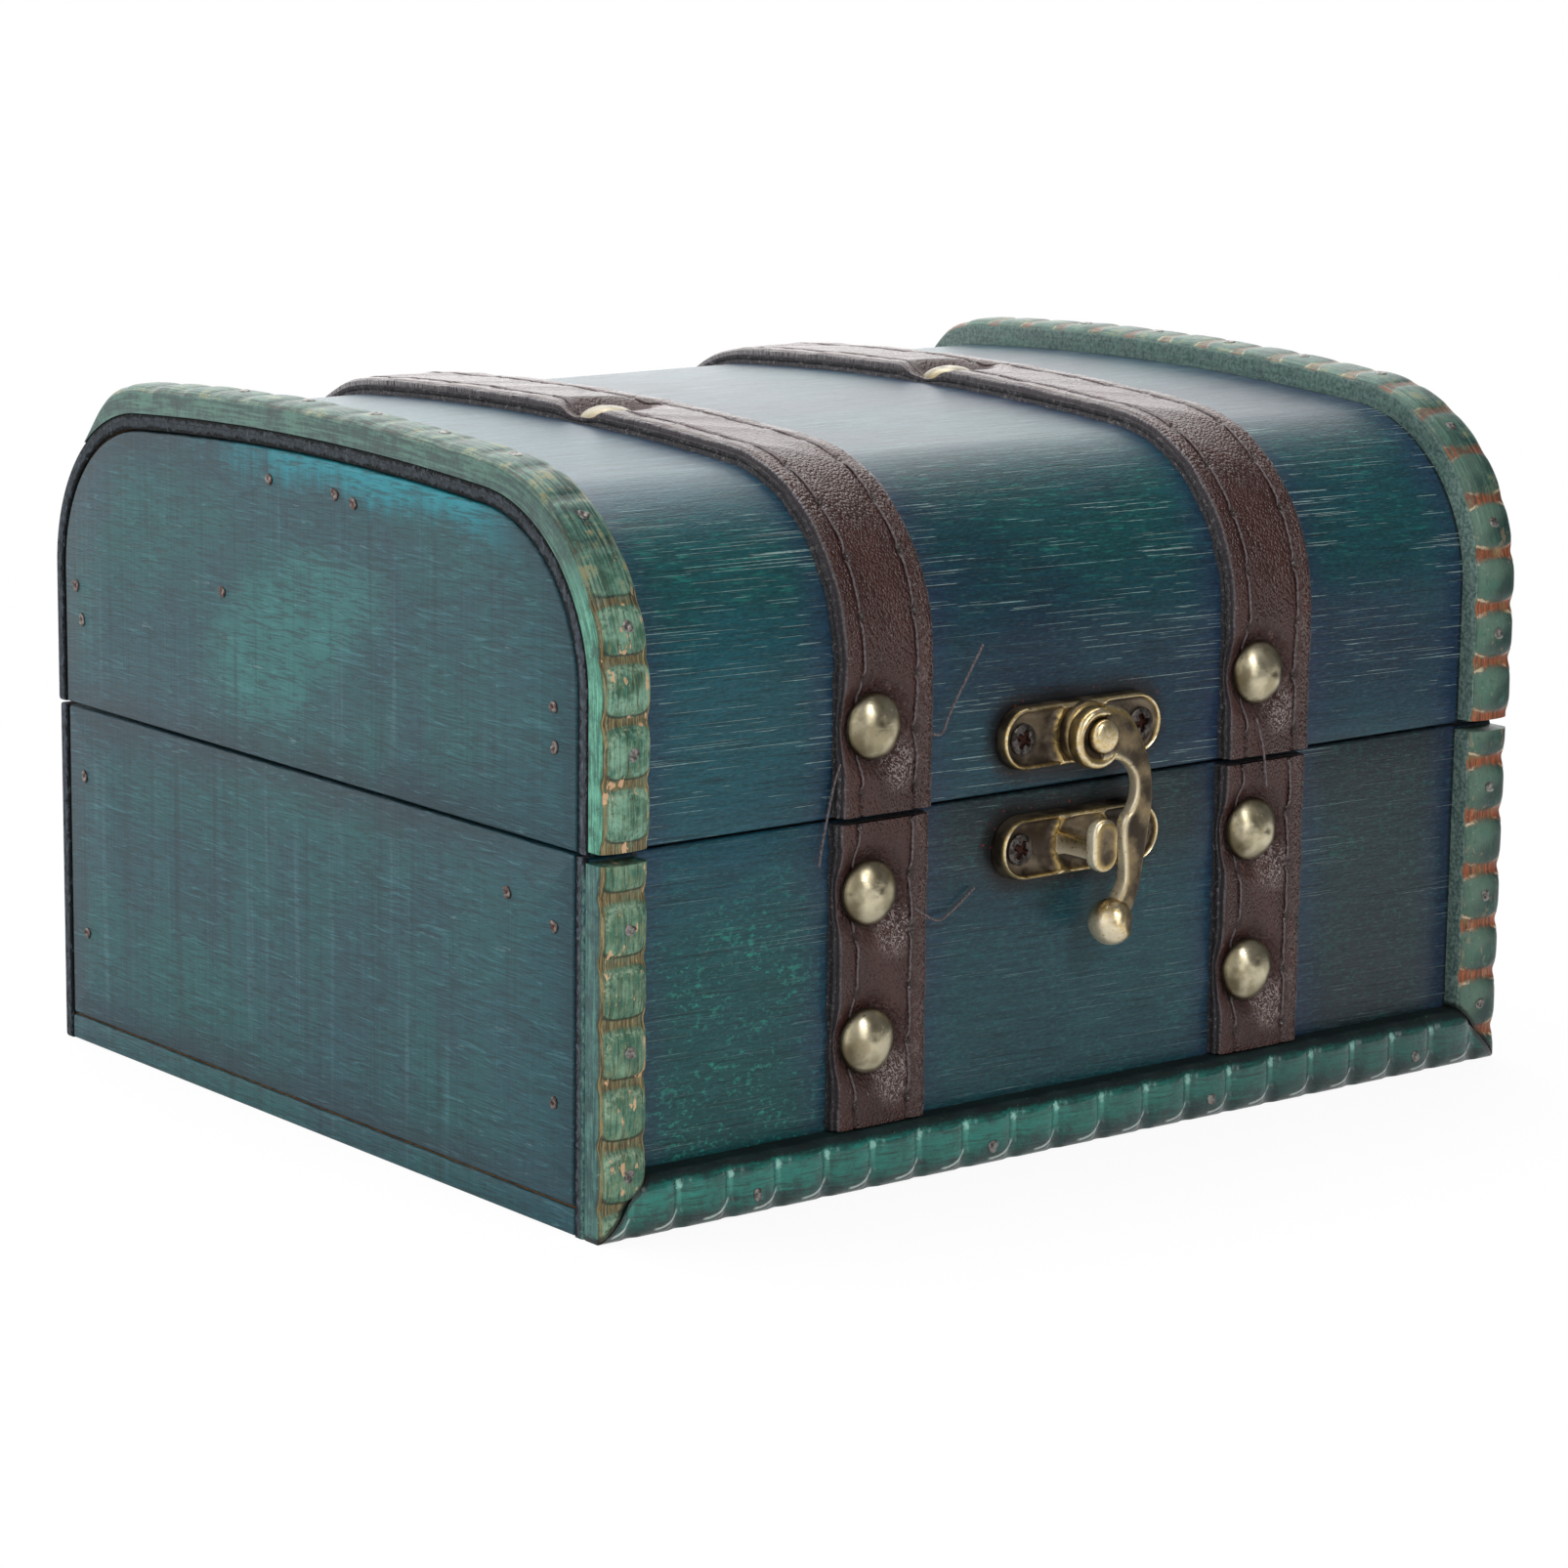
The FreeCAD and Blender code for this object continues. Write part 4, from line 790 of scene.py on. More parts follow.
@finish
def trim_paint(nodes, paint, part):
    """Green paint rubbed thin over carved beads, with bare streaked wood between them, dark outlines, tan chips and
    painted flanks. The bottom trim is emerald and glossy, dark on top, with light heads to its valleys and pale
    worn arcs along its lower edge."""
    step = nodes.step
    share, valley, after = (nodes.mark(name) for name in ("share", "valley", "after"))
    x, _, z = nodes.parts(nodes.place())
    _, run, _ = nodes.parts(nodes.place("UV"))
    streak = nodes.noise(nodes.vector(share * 9, run * 0.1, 0.0), 4, 0.7)
    fine = nodes.noise(nodes.vector(share * 20 + 3, run * 0.3, 1.0), 3, 0.6)
    cloud = nodes.blots(0.25, 5, 0.7)
    speck = nodes.blots(1.6, 3, 0.65)
    if part == "bottom":
        shine, least_rough = 0.7, 0.2
        # Painted shade: the bottom trim darkens towards its right end, and its painted highlights fade there too
        painted_shade_right = step(x + (cloud - 0.5) * 60, -30, 70)
        base = nodes.mix(step(cloud, 0.36, 0.64), "#0d3938", paint.emerald)
        middle = step(abs(share - 0.15) + (streak - 0.5) * 1.2, 0.55, 0.1)
        base.coat(middle * 0.4, "#118a7a")
        base.coat(step(streak, 0.54, 0.66) * 0.3, "#2ba191")
        base.coat(step(streak, 0.5, 0.34) * 0.75, "#08211f")
        base.coat(step(fine, 0.5, 0.34) * 0.4, "#0a2724")
        base.coat(painted_shade_right * 0.55, "#0f2a29")
        # Painted highlights: a bright head at the top of each valley, with a fading tail below it
        beside, above = (1 - valley) * 4.4, (share - 0.5) * 4.5
        head = step(beside * beside * 2 + above * above + (speck - 0.5) * 2.5, 1.0, -0.2)
        tail = step(beside + (speck - 0.5) * 0.6, 0.6, 0.15) * step(share, -0.5, 0.4) * step(share, 0.68, 0.53)
        base.coat(tail * (0.42 - painted_shade_right * 0.2), "#5fb3a0")
        base.coat(head * (0.7 - painted_shade_right * 0.2), "#a5dccd")
        base.coat(step(share + (speck - 0.5) * 0.3 + (cloud - 0.5) * 0.3, 0.62, 0.84) * 0.94, "#0d1517")
        base.coat(step(share + (streak - 0.5) * 0.4, -0.25, -0.8) * 0.7, "#0b2221")
        # Pale arcs along the lower edge of each bead: a painted highlight standing for the floor's reflection
        below = (share + 0.1) / 0.75
        sweep = abs((valley * valley + below * below) ** 0.5 - 0.92) + (speck - 0.5) * 0.05
        painted_arc_highlight = step(sweep, 0.1, 0.01) * step(share, -0.2, -0.45) * step(after, -0.5, 0.1)
        base.coat(painted_arc_highlight * (0.7 - painted_shade_right * 0.15), "#e2efea")
        base.coat(step(speck, 0.64, 0.72) * 0.2, paint.trim_light)
        half = settings("trim").width / 2 / MM
        mitre = HALF_LENGTH / MM - abs(x) - (share + 1) * half + (speck - 0.5) * 0.8
        base.coat(step(mitre, 1.2, 0.6) * 0.9, "#0a0c0c")
    else:
        shine, least_rough = 0.08, 0.36
        right = step(x, -40, 40)
        upper = step(z, SPLIT / MM - 2, SPLIT / MM + 2)
        crown = step(z + (cloud - 0.5) * 14, CROWN / MM - 20, CROWN / MM - 5)
        out, flank = nodes.mark("out"), nodes.mark("flank")
        flow = nodes.strokes((2.0, 0.1, 1), 4, 0.7)
        ragged = (cloud - 0.5) * 0.25 + (streak - 0.5) * 0.25
        base = nodes.mix(step(cloud, 0.38, 0.66), paint.trim_green, paint.trim_light)
        base.coat(step(streak * 0.6 + flow * 0.4, 0.54, 0.4) * 0.8, paint.trim_dark)
        base.coat(step(fine, 0.5, 0.66) * 0.6, "#878458")
        # Painted light on the right trims: each bead is painted lighter on one side and shaded on the other
        painted_light_side = step(share * 0.8 - after * 0.35 + (speck - 0.5) * 0.6, 0.45, -0.6)
        grey = nodes.mix(painted_light_side, "#17302f", "#576f62")
        grey.coat(step(cloud, 0.5, 0.66) * 0.5, "#2c5f52")
        base.coat(upper * step(cloud * 0.6 + flow * 0.4, 0.44, 0.6) * 0.5, "#86b8a2")
        base.coat(right * 0.9, grey)
        # Pale spots round the upper half of each bead on the left trims: painted highlight
        rubbed = step(abs(out - 0.8), 0.2, 0.0) * step(speck, 0.44, 0.6) * step(after, -0.4, 0.4)
        base.coat(rubbed * (1 - right) * 0.5, "#a3b79c")
        wood = nodes.mix(step(streak, 0.4, 0.62), paint.valley, "#93825a")
        wood.coat(step(fine, 0.52, 0.38) * 0.8, "#2a2115")
        wood.coat(step(cloud, 0.5, 0.66) * 0.5, "#4b6a52")
        worn = step(out + ragged, 0.94, 1.08) * (1 - flank) * (1 - right)
        base.coat(worn * 0.85, wood)
        waist = valley + share * share * 0.2 + (cloud - 0.5) * 0.25
        rusty = nodes.mix(step(streak, 0.4, 0.6), "#5a2b17", paint.rust_wash)
        rusty.coat(step(cloud, 0.5, 0.62) * 0.6, "#6d6a45")
        base.coat(step(waist + (streak - 0.5) * 0.3, 0.72, 0.95) * right * (1 - flank) * 0.85, rusty)
        pale = step(abs(waist + (speck - 0.5) * 0.2 - 0.86), 0.07, 0.02) * step(abs(share), 0.3, 0.75) * right
        pale = pale * step(cloud, 0.42, 0.56)
        base.coat(pale * (1 - flank) * 0.75, "#d3c2a2")
        # Painted shadow: a dark line along the lower edge of each bead on the left trims
        under = step(abs(out + (speck - 0.5) * 0.15 - 1.0), 0.08, 0.02) * step(after, 0.1, -0.25)
        base.coat(under * (1 - flank) * (1 - right) * 0.7, "#1b1810")
        tan = step(abs(share - 0.84), 0.14, 0.03) * step(streak + (cloud - 0.5) * 0.6, 0.5, 0.6) * (1 - right)
        base.coat(tan * 0.75, "#b39c66")
        margin = step(share + ragged * 0.4, -0.82, -0.9) * (1 - right)
        base.coat(margin * (1 - flank) * 0.8, wood)
        # The flanks are painted lighter on the lid than on the base: painted highlight where the lid trims' flanks
        # catch the light
        side = nodes.mix(upper, "#1a3b40", "#23604f")
        side.coat(step(flow * 0.6 + cloud * 0.4, 0.44, 0.62) * 0.7, nodes.mix(upper, "#4c7a70", "#62ad92"))
        side.coat(step(cloud, 0.48, 0.32) * 0.6, "#142d2a")
        side.coat(right, nodes.mix(step(speck, 0.4, 0.62), "#536b66", "#7f948d"))
        base.coat(flank * 0.92, side)
        seam = step(abs(flank - 0.4), 0.35, 0.1)
        base.coat(seam * 0.55, nodes.mix(right, "#3a2e1b", "#33463c"))
        chipped = step(nodes.blots((0.55, 0.55, 0.24), 3, 0.6, shift=(8, 1, 3)), 0.62, 0.65)
        base.coat(chipped * (1 - flank) * (1 - right * 0.8) * 0.85, paint.chip)
        top = nodes.mix(step(flow * 0.6 + cloud * 0.4, 0.42, 0.6), "#10292a", "#4d7568")
        top.coat(step(cloud * 0.7 + flow * 0.3, 0.53, 0.6) * (1 - flank) * 0.7, "#8a7a52")
        top.coat(flank * 0.55, "#16302f")
        base.coat(crown * (0.88 - right * 0.3), top)
        base.coat(step(speck, 0.64, 0.72) * (1 - crown) * 0.3, "#a9bfae")
        base.coat(step(speck, 0.42, 0.3) * 0.4, "#13211c")
        mitre = z - (1 - share * (right * 2 - 1)) * (TRIM_WIDTH / 2 / MM) + (speck - 0.5) * 1.2
        base.coat(step(mitre, 1.3, 0.5) * 0.85, "#0d0f0d")
    height = streak * 0.7 + cloud * 0.5 + speck * 0.25
    matt = step(share, 0.58, 0.74) if part == "bottom" else 0.0
    return nodes.surface(base_color=base, roughness=cloud * 0.16 + least_rough + matt * 0.45,
                         coat_weight=(1 - matt) * shine, coat_roughness=0.12,
                         specular_ior_level=0.22, normal=nodes.bump(height, 0.0003, 0.8))


@finish
def strap_leather(nodes, paint):
    """Dark brown leather cloth: shining pebbled grain, creases round the tacks, pale crackle, darker edges and
    pinholes at the seams."""
    step = nodes.step
    pebble = nodes.cells(nodes.place("UV", (2.5, 2.1, 1)))
    crease = nodes.strokes((1.5, 1.0, 1), 5, 0.72, 0.8)
    cloud = nodes.strokes((0.09, 0.05, 1), 3, 0.6)
    seam, edge, press = nodes.mark("seam"), nodes.mark("edge"), nodes.mark("press")
    base = nodes.mix(step(cloud, 0.35, 0.7), paint.leather, "#43231c")
    base.coat(step(crease, 0.58, 0.74) * 0.25, "#6b4840")
    base.coat(step(pebble, 0.4, 0.8) * 0.4, "#22100d")
    # Painted shade in the seams' grooves and needle holes
    base.coat(seam * 0.75, "#170d0d")
    base.coat(step(edge, 0.4, 0.9) * 0.8, paint.backing)
    scuff = step(nodes.strokes((0.6, 0.4, 1), 5, 0.72, shift=(5, 5, 0)) + press * 0.08, 0.63, 0.72)
    base.coat(scuff * 0.3, "#7d6662")
    # Pale crackled lines that paint sheen and glints, below and right of the tacks and along the right half
    worm = nodes.strokes((0.95, 0.75, 1), 2, 0.5, 1.6, shift=(3, 8, 0))
    crackle = step(abs(worm - 0.5), 0.05, 0.015) * step(nodes.mark("crackle") + (cloud - 0.5) * 0.5, 0.2, 0.8)
    base.coat(crackle * 0.5, "#c4b7b3")
    rough = 0.14 + cloud * 0.1 + crease * 0.08
    height = crease * (0.2 + press * 1.5) - pebble * 0.8
    return nodes.surface(base_color=base, roughness=rough, specular_ior_level=0.42,
                         normal=nodes.bump(height, 0.0003, 0.9))


@finish
def strap_felt(nodes, paint):
    """The strap's dark backing boards: a fuzzy raw edge in two plies with light lint."""
    fuzz = nodes.blots(3.2, 4, 0.75)
    lint = nodes.blots(1.2, 4, 0.7)
    ply = nodes.mark("ply")
    base = nodes.mix(nodes.step(fuzz, 0.3, 0.7), "#19181b", paint.backing)
    base.coat(nodes.step(ply + (fuzz - 0.5) * 0.8, 0.5, 0.9) * 0.8, "#08080a")
    base.coat(nodes.step(lint + fuzz * 0.5, 0.8, 0.92) * 0.7, "#85807f")
    return nodes.surface(base_color=base, roughness=0.9, normal=nodes.bump(fuzz, 0.0004, 1.0))


@finish
def sewing_thread(nodes, paint):
    """Dull grey brown sewing thread with a fine twist."""
    twist = nodes.strokes((5, 1.6, 1), 2, 0.6, turn=(0, 0, 0.7))
    base = nodes.mix(nodes.step(twist, 0.36, 0.6), "#3a3031", paint.thread)
    return nodes.surface(base_color=base, roughness=0.7, normal=nodes.bump(twist, 0.0001, 0.7))


@finish
def tack_brass(nodes, paint):
    """Pale plated brass with smudges, dark specks at the rim and fine scratches."""
    smudge = nodes.blots(0.25, 3, 0.55)
    speck = nodes.step(nodes.blots(1.1, 4, 0.7, shift=(2, 7, 1)), 0.6, 0.68)
    rim = nodes.mark("rim")
    base = nodes.mix(nodes.step(smudge, 0.38, 0.64) * 0.75, paint.tack, "#857b60")
    base.coat(speck * nodes.step(rim + smudge, 0.55, 0.95), "#3c342c")
    # Painted shade round the rim
    base.coat(nodes.step(rim, 0.7, 1.0) * 0.7, "#4e4433")
    base.coat((nodes.mark("dimple") + nodes.mark("dull")) * 0.6, "#4d4636")
    # A dark smudge on the lower left, and painted shade on the right
    smear = nodes.mark("smear") + (smudge - 0.5) * 0.8
    base.coat(nodes.step(smear, 0.1, 0.9) * 0.85, "#4f4531")
    scratch = nodes.blots((0.5, 0.5, 5), 3, 0.6, turn=(0.4, 0.8, 0))
    rough = 0.24 + smudge * 0.1 + speck * 0.25
    return nodes.surface(base_color=base, metallic=1.0, roughness=rough,
                         normal=nodes.bump(scratch + smudge, 0.00005, 0.5))


@finish
def antique_brass(nodes, paint):
    """Antique brass: bright where rubbed, brown grey patina in the hollows and greasy grime."""
    rubbed, pale = nodes.mark("rubbed"), nodes.mark("pale")
    blot = nodes.blots(0.22, 4, 0.55)
    fine = nodes.blots(1.6, 3, 0.6)
    bright = nodes.step(rubbed + (blot - 0.5) * 0.6 + (fine - 0.5) * 0.2, 0.15, 0.8)
    dull = nodes.mix(nodes.step(blot, 0.4, 0.65), paint.patina, "#6f6352")
    base = nodes.mix(bright, dull, paint.brass)
    base.coat(nodes.step(bright + fine * 0.4, 1.1, 1.3) * 0.7, "#e6dfca")
    grime = nodes.step(fine + blot * 0.4, 0.54, 0.4) * (1 - bright)
    base.coat(grime * 0.6, "#1a1310")
    # Pale cream and less metallic: painted highlight on the sides marked pale
    base.coat(pale * nodes.step(fine + blot * 0.5, 0.45, 0.7) * 0.85, "#e3dbc4")
    rough = 0.38 - bright * 0.14 + fine * 0.1
    return nodes.surface(base_color=base, metallic=(bright * 0.2 + 0.78) * (1 - pale * 0.55), roughness=rough,
                         normal=nodes.bump(fine + blot, 0.00007, 0.5))


@finish
def steel(nodes, paint, part):
    """Plated steel of the screws and brads: dark in the screws, bright in the brads, rusty in the recess."""
    recess = nodes.mark("recess")
    blot = nodes.blots(1.3, 4, 0.65)
    light, dark = (paint.steel, "#4a4644") if part == "brad" else ("#5a5552", "#221c1a")
    base = nodes.mix(nodes.step(blot, 0.4, 0.64), light, dark)
    base.coat(nodes.step(recess + (blot - 0.5) * 0.5, 0.2, 0.6), paint.rust)
    return nodes.surface(base_color=base, metallic=0.85, roughness=0.34 + blot * 0.2,
                         normal=nodes.bump(blot, 0.0001, 0.6))


# Sheets and boards


def sheet_loop(half, thickness, edge):
    """Loop round a sheet's section, as across and rise: the outer face, a rounded edge, the inner face and the
    other edge. The third row numbers the finish: 0 outside, 1 inside, 2 the edges."""
    turn = np.linspace(0, np.pi / 2, 5)
    face = np.linspace(-half + edge, half - edge, 13)
    corner = half - edge + edge * np.sin(turn[1:])
    drop = edge * (np.cos(turn[1:]) - 1)
    across = np.concatenate([face, corner, [half, half - edge / 2],
                             face[::-4], [edge / 2 - half, -half], -corner[::-1]])
    rise = np.concatenate([0 * face, drop, [edge / 2 - thickness, -thickness], 0 * face[::-4] - thickness,
                           [-thickness, edge / 2 - thickness], drop[::-1]])
    outside = np.zeros(len(face) - 1)
    edges = np.full(len(corner) + 3, 2)
    inside = np.ones(len(face[::-4]) - 1)
    return across, rise, np.concatenate([outside, edges, inside, edges, [0]])[:len(across)]


def sheet(name, path, runs, half, body, outer, node):
    """A sheet bent along a path, with its outer face's ends rounded over the edge rounding."""
    edge = settings("body").edge_round
    across, rise, finishes = sheet_loop(half, WALL, edge)
    run = np.broadcast_to(runs[:, None], (len(runs), len(across)))
    from_end = np.minimum(run - runs[0], runs[-1] - run)
    rolled = edge - np.sqrt(np.maximum(edge**2 - np.maximum(edge - from_end, 0) ** 2, 0))
    rise = rise - rolled * (rise > -WALL / 2)
    skin = Skin()
    grid = carried(path, run, np.broadcast_to(across, run.shape), rise)
    skin.shell(grid, finishes, (2, 2), pattern=np.stack([grid[..., 0], run], axis=-1), depth=-rise / WALL)
    skin.piece(name, body, "stained_wood", [outer, inner_wood("x"), raw_edge()], node, sharp=50)


def end_rows(length):
    """Runs from 0 to a length, close together at both ends for a rounded edge."""
    edge = settings("body").edge_round
    roll = edge * (1 - np.cos(np.linspace(0, np.pi / 2, 5)))
    return np.concatenate([roll, np.linspace(0, length, 12)[1:-1], length - roll[::-1]])


class CHEST_OT_sheets(bpy.types.Operator):
    """Front and back walls of the base and the bent sheet of the lid"""

    bl_idname = "chest.sheets"
    bl_label = "Sheets"

    def execute(self, context):
        rows = end_rows(SPLIT)
        sheet("front_wall", front_path(0), rows, HALF_LENGTH, "base", stain("base"), "base_front_wall")
        sheet("back_wall", back_path(0), rows, HALF_LENGTH, "base", stain("base"), "base_back_wall")
        runs = lid_runs((6, 30, 26, 30, 6))
        runs = np.unique(np.concatenate([runs, end_rows(runs[-1])]))
        sheet("lid_sheet", lid_path(0), runs, HALF_LENGTH, "lid", stain("lid"), "lid_shell")
        return {"FINISHED"}


def slab(outline, low, high, axes, skin=None, finish=0, ends=(0, 0), edge=None, border=None):
    """A board: an outline given a thickness along the third axis, with both its rims rounded by insetting
    the outline by 1 - cosine while it rises by 1 - sine of the rounding's angle. A border's width adds a ring
    on each face, and the border's mark falls from 1 at the rim to 0 there."""
    edge = settings("body").edge_round if edge is None else edge
    angle = np.linspace(np.pi / 2, 0, 4)
    inset = np.concatenate([edge * (1 - np.cos(angle)), edge * (1 - np.cos(angle[::-1]))])
    depth = edge * (1 - np.sin(angle))
    level = np.concatenate([low + depth, high - depth[::-1]])
    mark = np.full(len(inset), 0.4 if border is None else 1.0)
    if border is not None:
        inset = np.concatenate([[border], inset, [border]])
        level = np.concatenate([[low], level, [high]])
        mark = np.concatenate([[0], mark, [0]])
    rings = np.stack([outline(step) for step in inset])
    grid = np.empty((*rings.shape[:2], 3))
    grid[..., axes[0]] = rings[..., 0]
    grid[..., axes[1]] = rings[..., 1]
    grid[..., axes[2]] = level[:, None]
    skin = skin or Skin()
    skin.shell(grid, finish, ends, pattern=grid[..., [axes[0], axes[1]]], border=mark[:, None])
    return skin


def rectangle(low, high, corner):
    """Outline of a rectangle with round corners, as a function of its inset."""
    quarter = np.linspace(0, np.pi / 2, 5)
    low, high = np.asarray(low), np.asarray(high)

    def outline(inset):
        radius = max(corner - inset, corner * 0.3)
        (left, bottom), (right, top) = low + inset + radius, high - inset - radius
        centres = ((right, top), (left, top), (left, bottom), (right, bottom))
        arcs = [centre + radius * circle(quarter + turns * np.pi / 2) for turns, centre in enumerate(centres)]
        return np.concatenate(arcs)

    return outline


def lid_outline(offset):
    """Outline of a board under the lid sheet, in Y and Z, as a function of its inset."""
    place, _, out = lid_path(0)(lid_runs((4, 24, 30, 24, 4)))

    def outline(inset):
        rim = (place + out * (offset - inset))[:, 1:]
        return np.stack([rim[:, 0], np.maximum(rim[:, 1], LID_BOTTOM + inset)], axis=-1)

    return outline


class CHEST_OT_boards(bpy.types.Operator):
    """Bottom board, inner end boards and outer end panels"""

    bl_idname = "chest.boards"
    bl_label = "Boards"

    def execute(self, context):
        gap = settings("body").panel_gap
        low, high = corners("bottom_panel")
        skin = slab(rectangle(low[:2], high[:2], 0.4 * MM), low[2], high[2], (0, 1, 2), finish=1, ends=(1, 0))
        skin.piece("bottom_board", "base", "inner_wood", [inner_wood("x"), end_stain("base")], "bottom_panel")
        for side, _ in SIDES:
            for part in ("base", "lid"):
                for kind, wood, slot, offset in (("board", inner_wood("y"), "inner_wood", -WALL),
                                                 ("panel", end_stain(part), "end_wood", -WALL - gap)):
                    node = f"{part}_end_{kind}_{side}"
                    low, high = corners(node)
                    shape = lid_outline(offset) if part == "lid" else rectangle(low[1:], high[1:], 0.5 * MM)
                    skin = slab(shape, low[0], high[0], (1, 2, 0), border=BORDER)
                    skin.piece(f"{part}_{kind}_{side}", part, slot, [wood], node, sharp=50)
        return {"FINISHED"}


# Trims


def bead_rise(run, share, valleys, seed, relief):
    """Height of a trim whose beads have a relief, how far a point lies out from its bead's middle, how near it is
    to a valley, and on which side of its bead it lies, as a sine. A bead's outline is a rounded square, where the
    sum of the fourth powers of the shares along and across it is 1. Its height falls as the 0.7 power of 1 minus the
    cube of how far out a point is. The strip that carries the beads rises from the wall as the root of 1 minus the
    fourth power of the share across, and is cut down in the valleys, most at its sides."""
    sizes = settings("trim")
    places = np.asarray(valleys) + np.random.default_rng(seed).uniform(-0.3, 0.3, len(valleys)) * MM
    places = np.concatenate([places[:1] - sizes.pitch, places, places[-1:] + sizes.pitch])
    after = np.clip(np.searchsorted(places, run), 1, len(places) - 1)
    along = np.clip(2 * (run - places[after - 1]) / (places[after] - places[after - 1]) - 1, -1, 1)
    out = (np.abs(along / 0.84) ** 4 + np.abs(share / 0.98) ** 4) ** 0.25
    bead = (1 - np.minimum(out, 1) ** 3) ** 0.7
    strip = (1 - np.abs(share) ** 4) ** 0.5
    waver = 0.08 * MM * wander(run, seed, 23 * MM)
    cut = 0.5 * relief * eased(np.abs(along), 0.6, 1.0) * share**2
    rise = sizes.wall + (TRIM_CREST - relief - sizes.wall + waver) * strip + relief * bead - cut
    return rise, np.minimum(out, 1.6), np.abs(along), np.sin(np.pi * along)


def trim(name, path, half, start, end, valleys, seed, body, paint, node, relief, outer_run=None, taper=None):
    """A beaded trim carried along a path between ends that may depend on the share across it. Its loop is the
    flank, the beaded crest, the other flank and the flat back. The beads' relief is a function of the run."""
    share = np.concatenate([[-1], np.sin(np.linspace(-np.pi / 2, np.pi / 2, 37)), [1]])
    loop = np.concatenate([share, np.linspace(1, -1, 4)])
    count = int((np.max(end(loop)) - np.min(start(loop))) / BEAD_STEP)
    run = start(loop) + np.linspace(0, 1, count)[:, None] * (end(loop) - start(loop))
    shares = np.broadcast_to(loop, run.shape)
    bead_run = run if outer_run is None else outer_run(run)
    rise, out, valley, after = bead_rise(bead_run, shares, valleys, seed, relief(run))
    level = np.ones(len(loop))
    level[[0, len(share) - 1]] = 0.5
    level[len(share):] = 0
    rise = rise * level * (1 if taper is None else taper(run))
    grid = carried(path, run, shares * half, rise)
    skin = Skin()
    skin.shell(grid, pattern=np.stack([shares * half + rise, run], axis=-1), out=out, valley=valley, after=after,
               flank=eased(np.abs(loop), 0.95, 0.995), share=loop)
    skin.piece(name, body, "trim_wood", [paint], node, sharp=60)


class CHEST_OT_trims(bpy.types.Operator):
    """Beaded trims at the corners of the base and the lid and along the bottom"""

    bl_idname = "chest.trims"
    bl_label = "Trims"

    def execute(self, context):
        sizes = settings("trim")
        half, foot = sizes.width / 2, TRIM_WIDTH / 2
        middle = HALF_LENGTH - half
        top = SPLIT - sizes.gap
        upright = np.arange(sizes.base_start, top, sizes.pitch)
        inner = lid_breaks(0)[0]
        outer = lid_breaks(sizes.valley_rise)[0]
        tail_end = inner[3] + sizes.tail_wrap
        lid_valleys = np.arange(sizes.lid_start, outer[3], sizes.pitch)

        def lid_relief(run):
            """Height of the lid's beads, which falls to a quarter over the first half of the front bend."""
            return sizes.bead * (1 - 0.75 * eased(run, inner[1], (inner[1] + inner[2]) / 2))

        for number, (side, sign) in enumerate(SIDES):
            trim(f"base_corner_{side}", front_path(sign * middle), half,
                 lambda share: foot * (1 - sign * share) + sizes.mitre_gap, lambda share: top + 0 * share,
                 upright, 11 + number, "base", trim_paint("upright"), f"base_trim_{side}", lambda run: sizes.bead)
            trim(f"lid_corner_{side}", lid_path(sign * middle), half, lambda share: sizes.gap + 0 * share,
                 lambda share: tail_end + 0 * share, lid_valleys, 21 + number, "lid", trim_paint("upright"),
                 f"lid_trim_{side}", lid_relief, outer_run=lambda run: np.interp(run, inner, outer),
                 taper=lambda run: 1.02 - eased(run, tail_end - sizes.tail_taper, tail_end + MM))
        trim("bottom_moulding", foot_path(foot), foot, lambda share: half * (1 + share) - HALF_LENGTH + sizes.mitre_gap,
             lambda share: HALF_LENGTH - half * (1 + share) - sizes.mitre_gap,
             np.arange(sizes.base_start, 2 * HALF_LENGTH, sizes.pitch) - HALF_LENGTH, 31, "base",
             trim_paint("bottom"), "bottom_trim", lambda run: sizes.bottom_bead)
        return {"FINISHED"}


# Straps


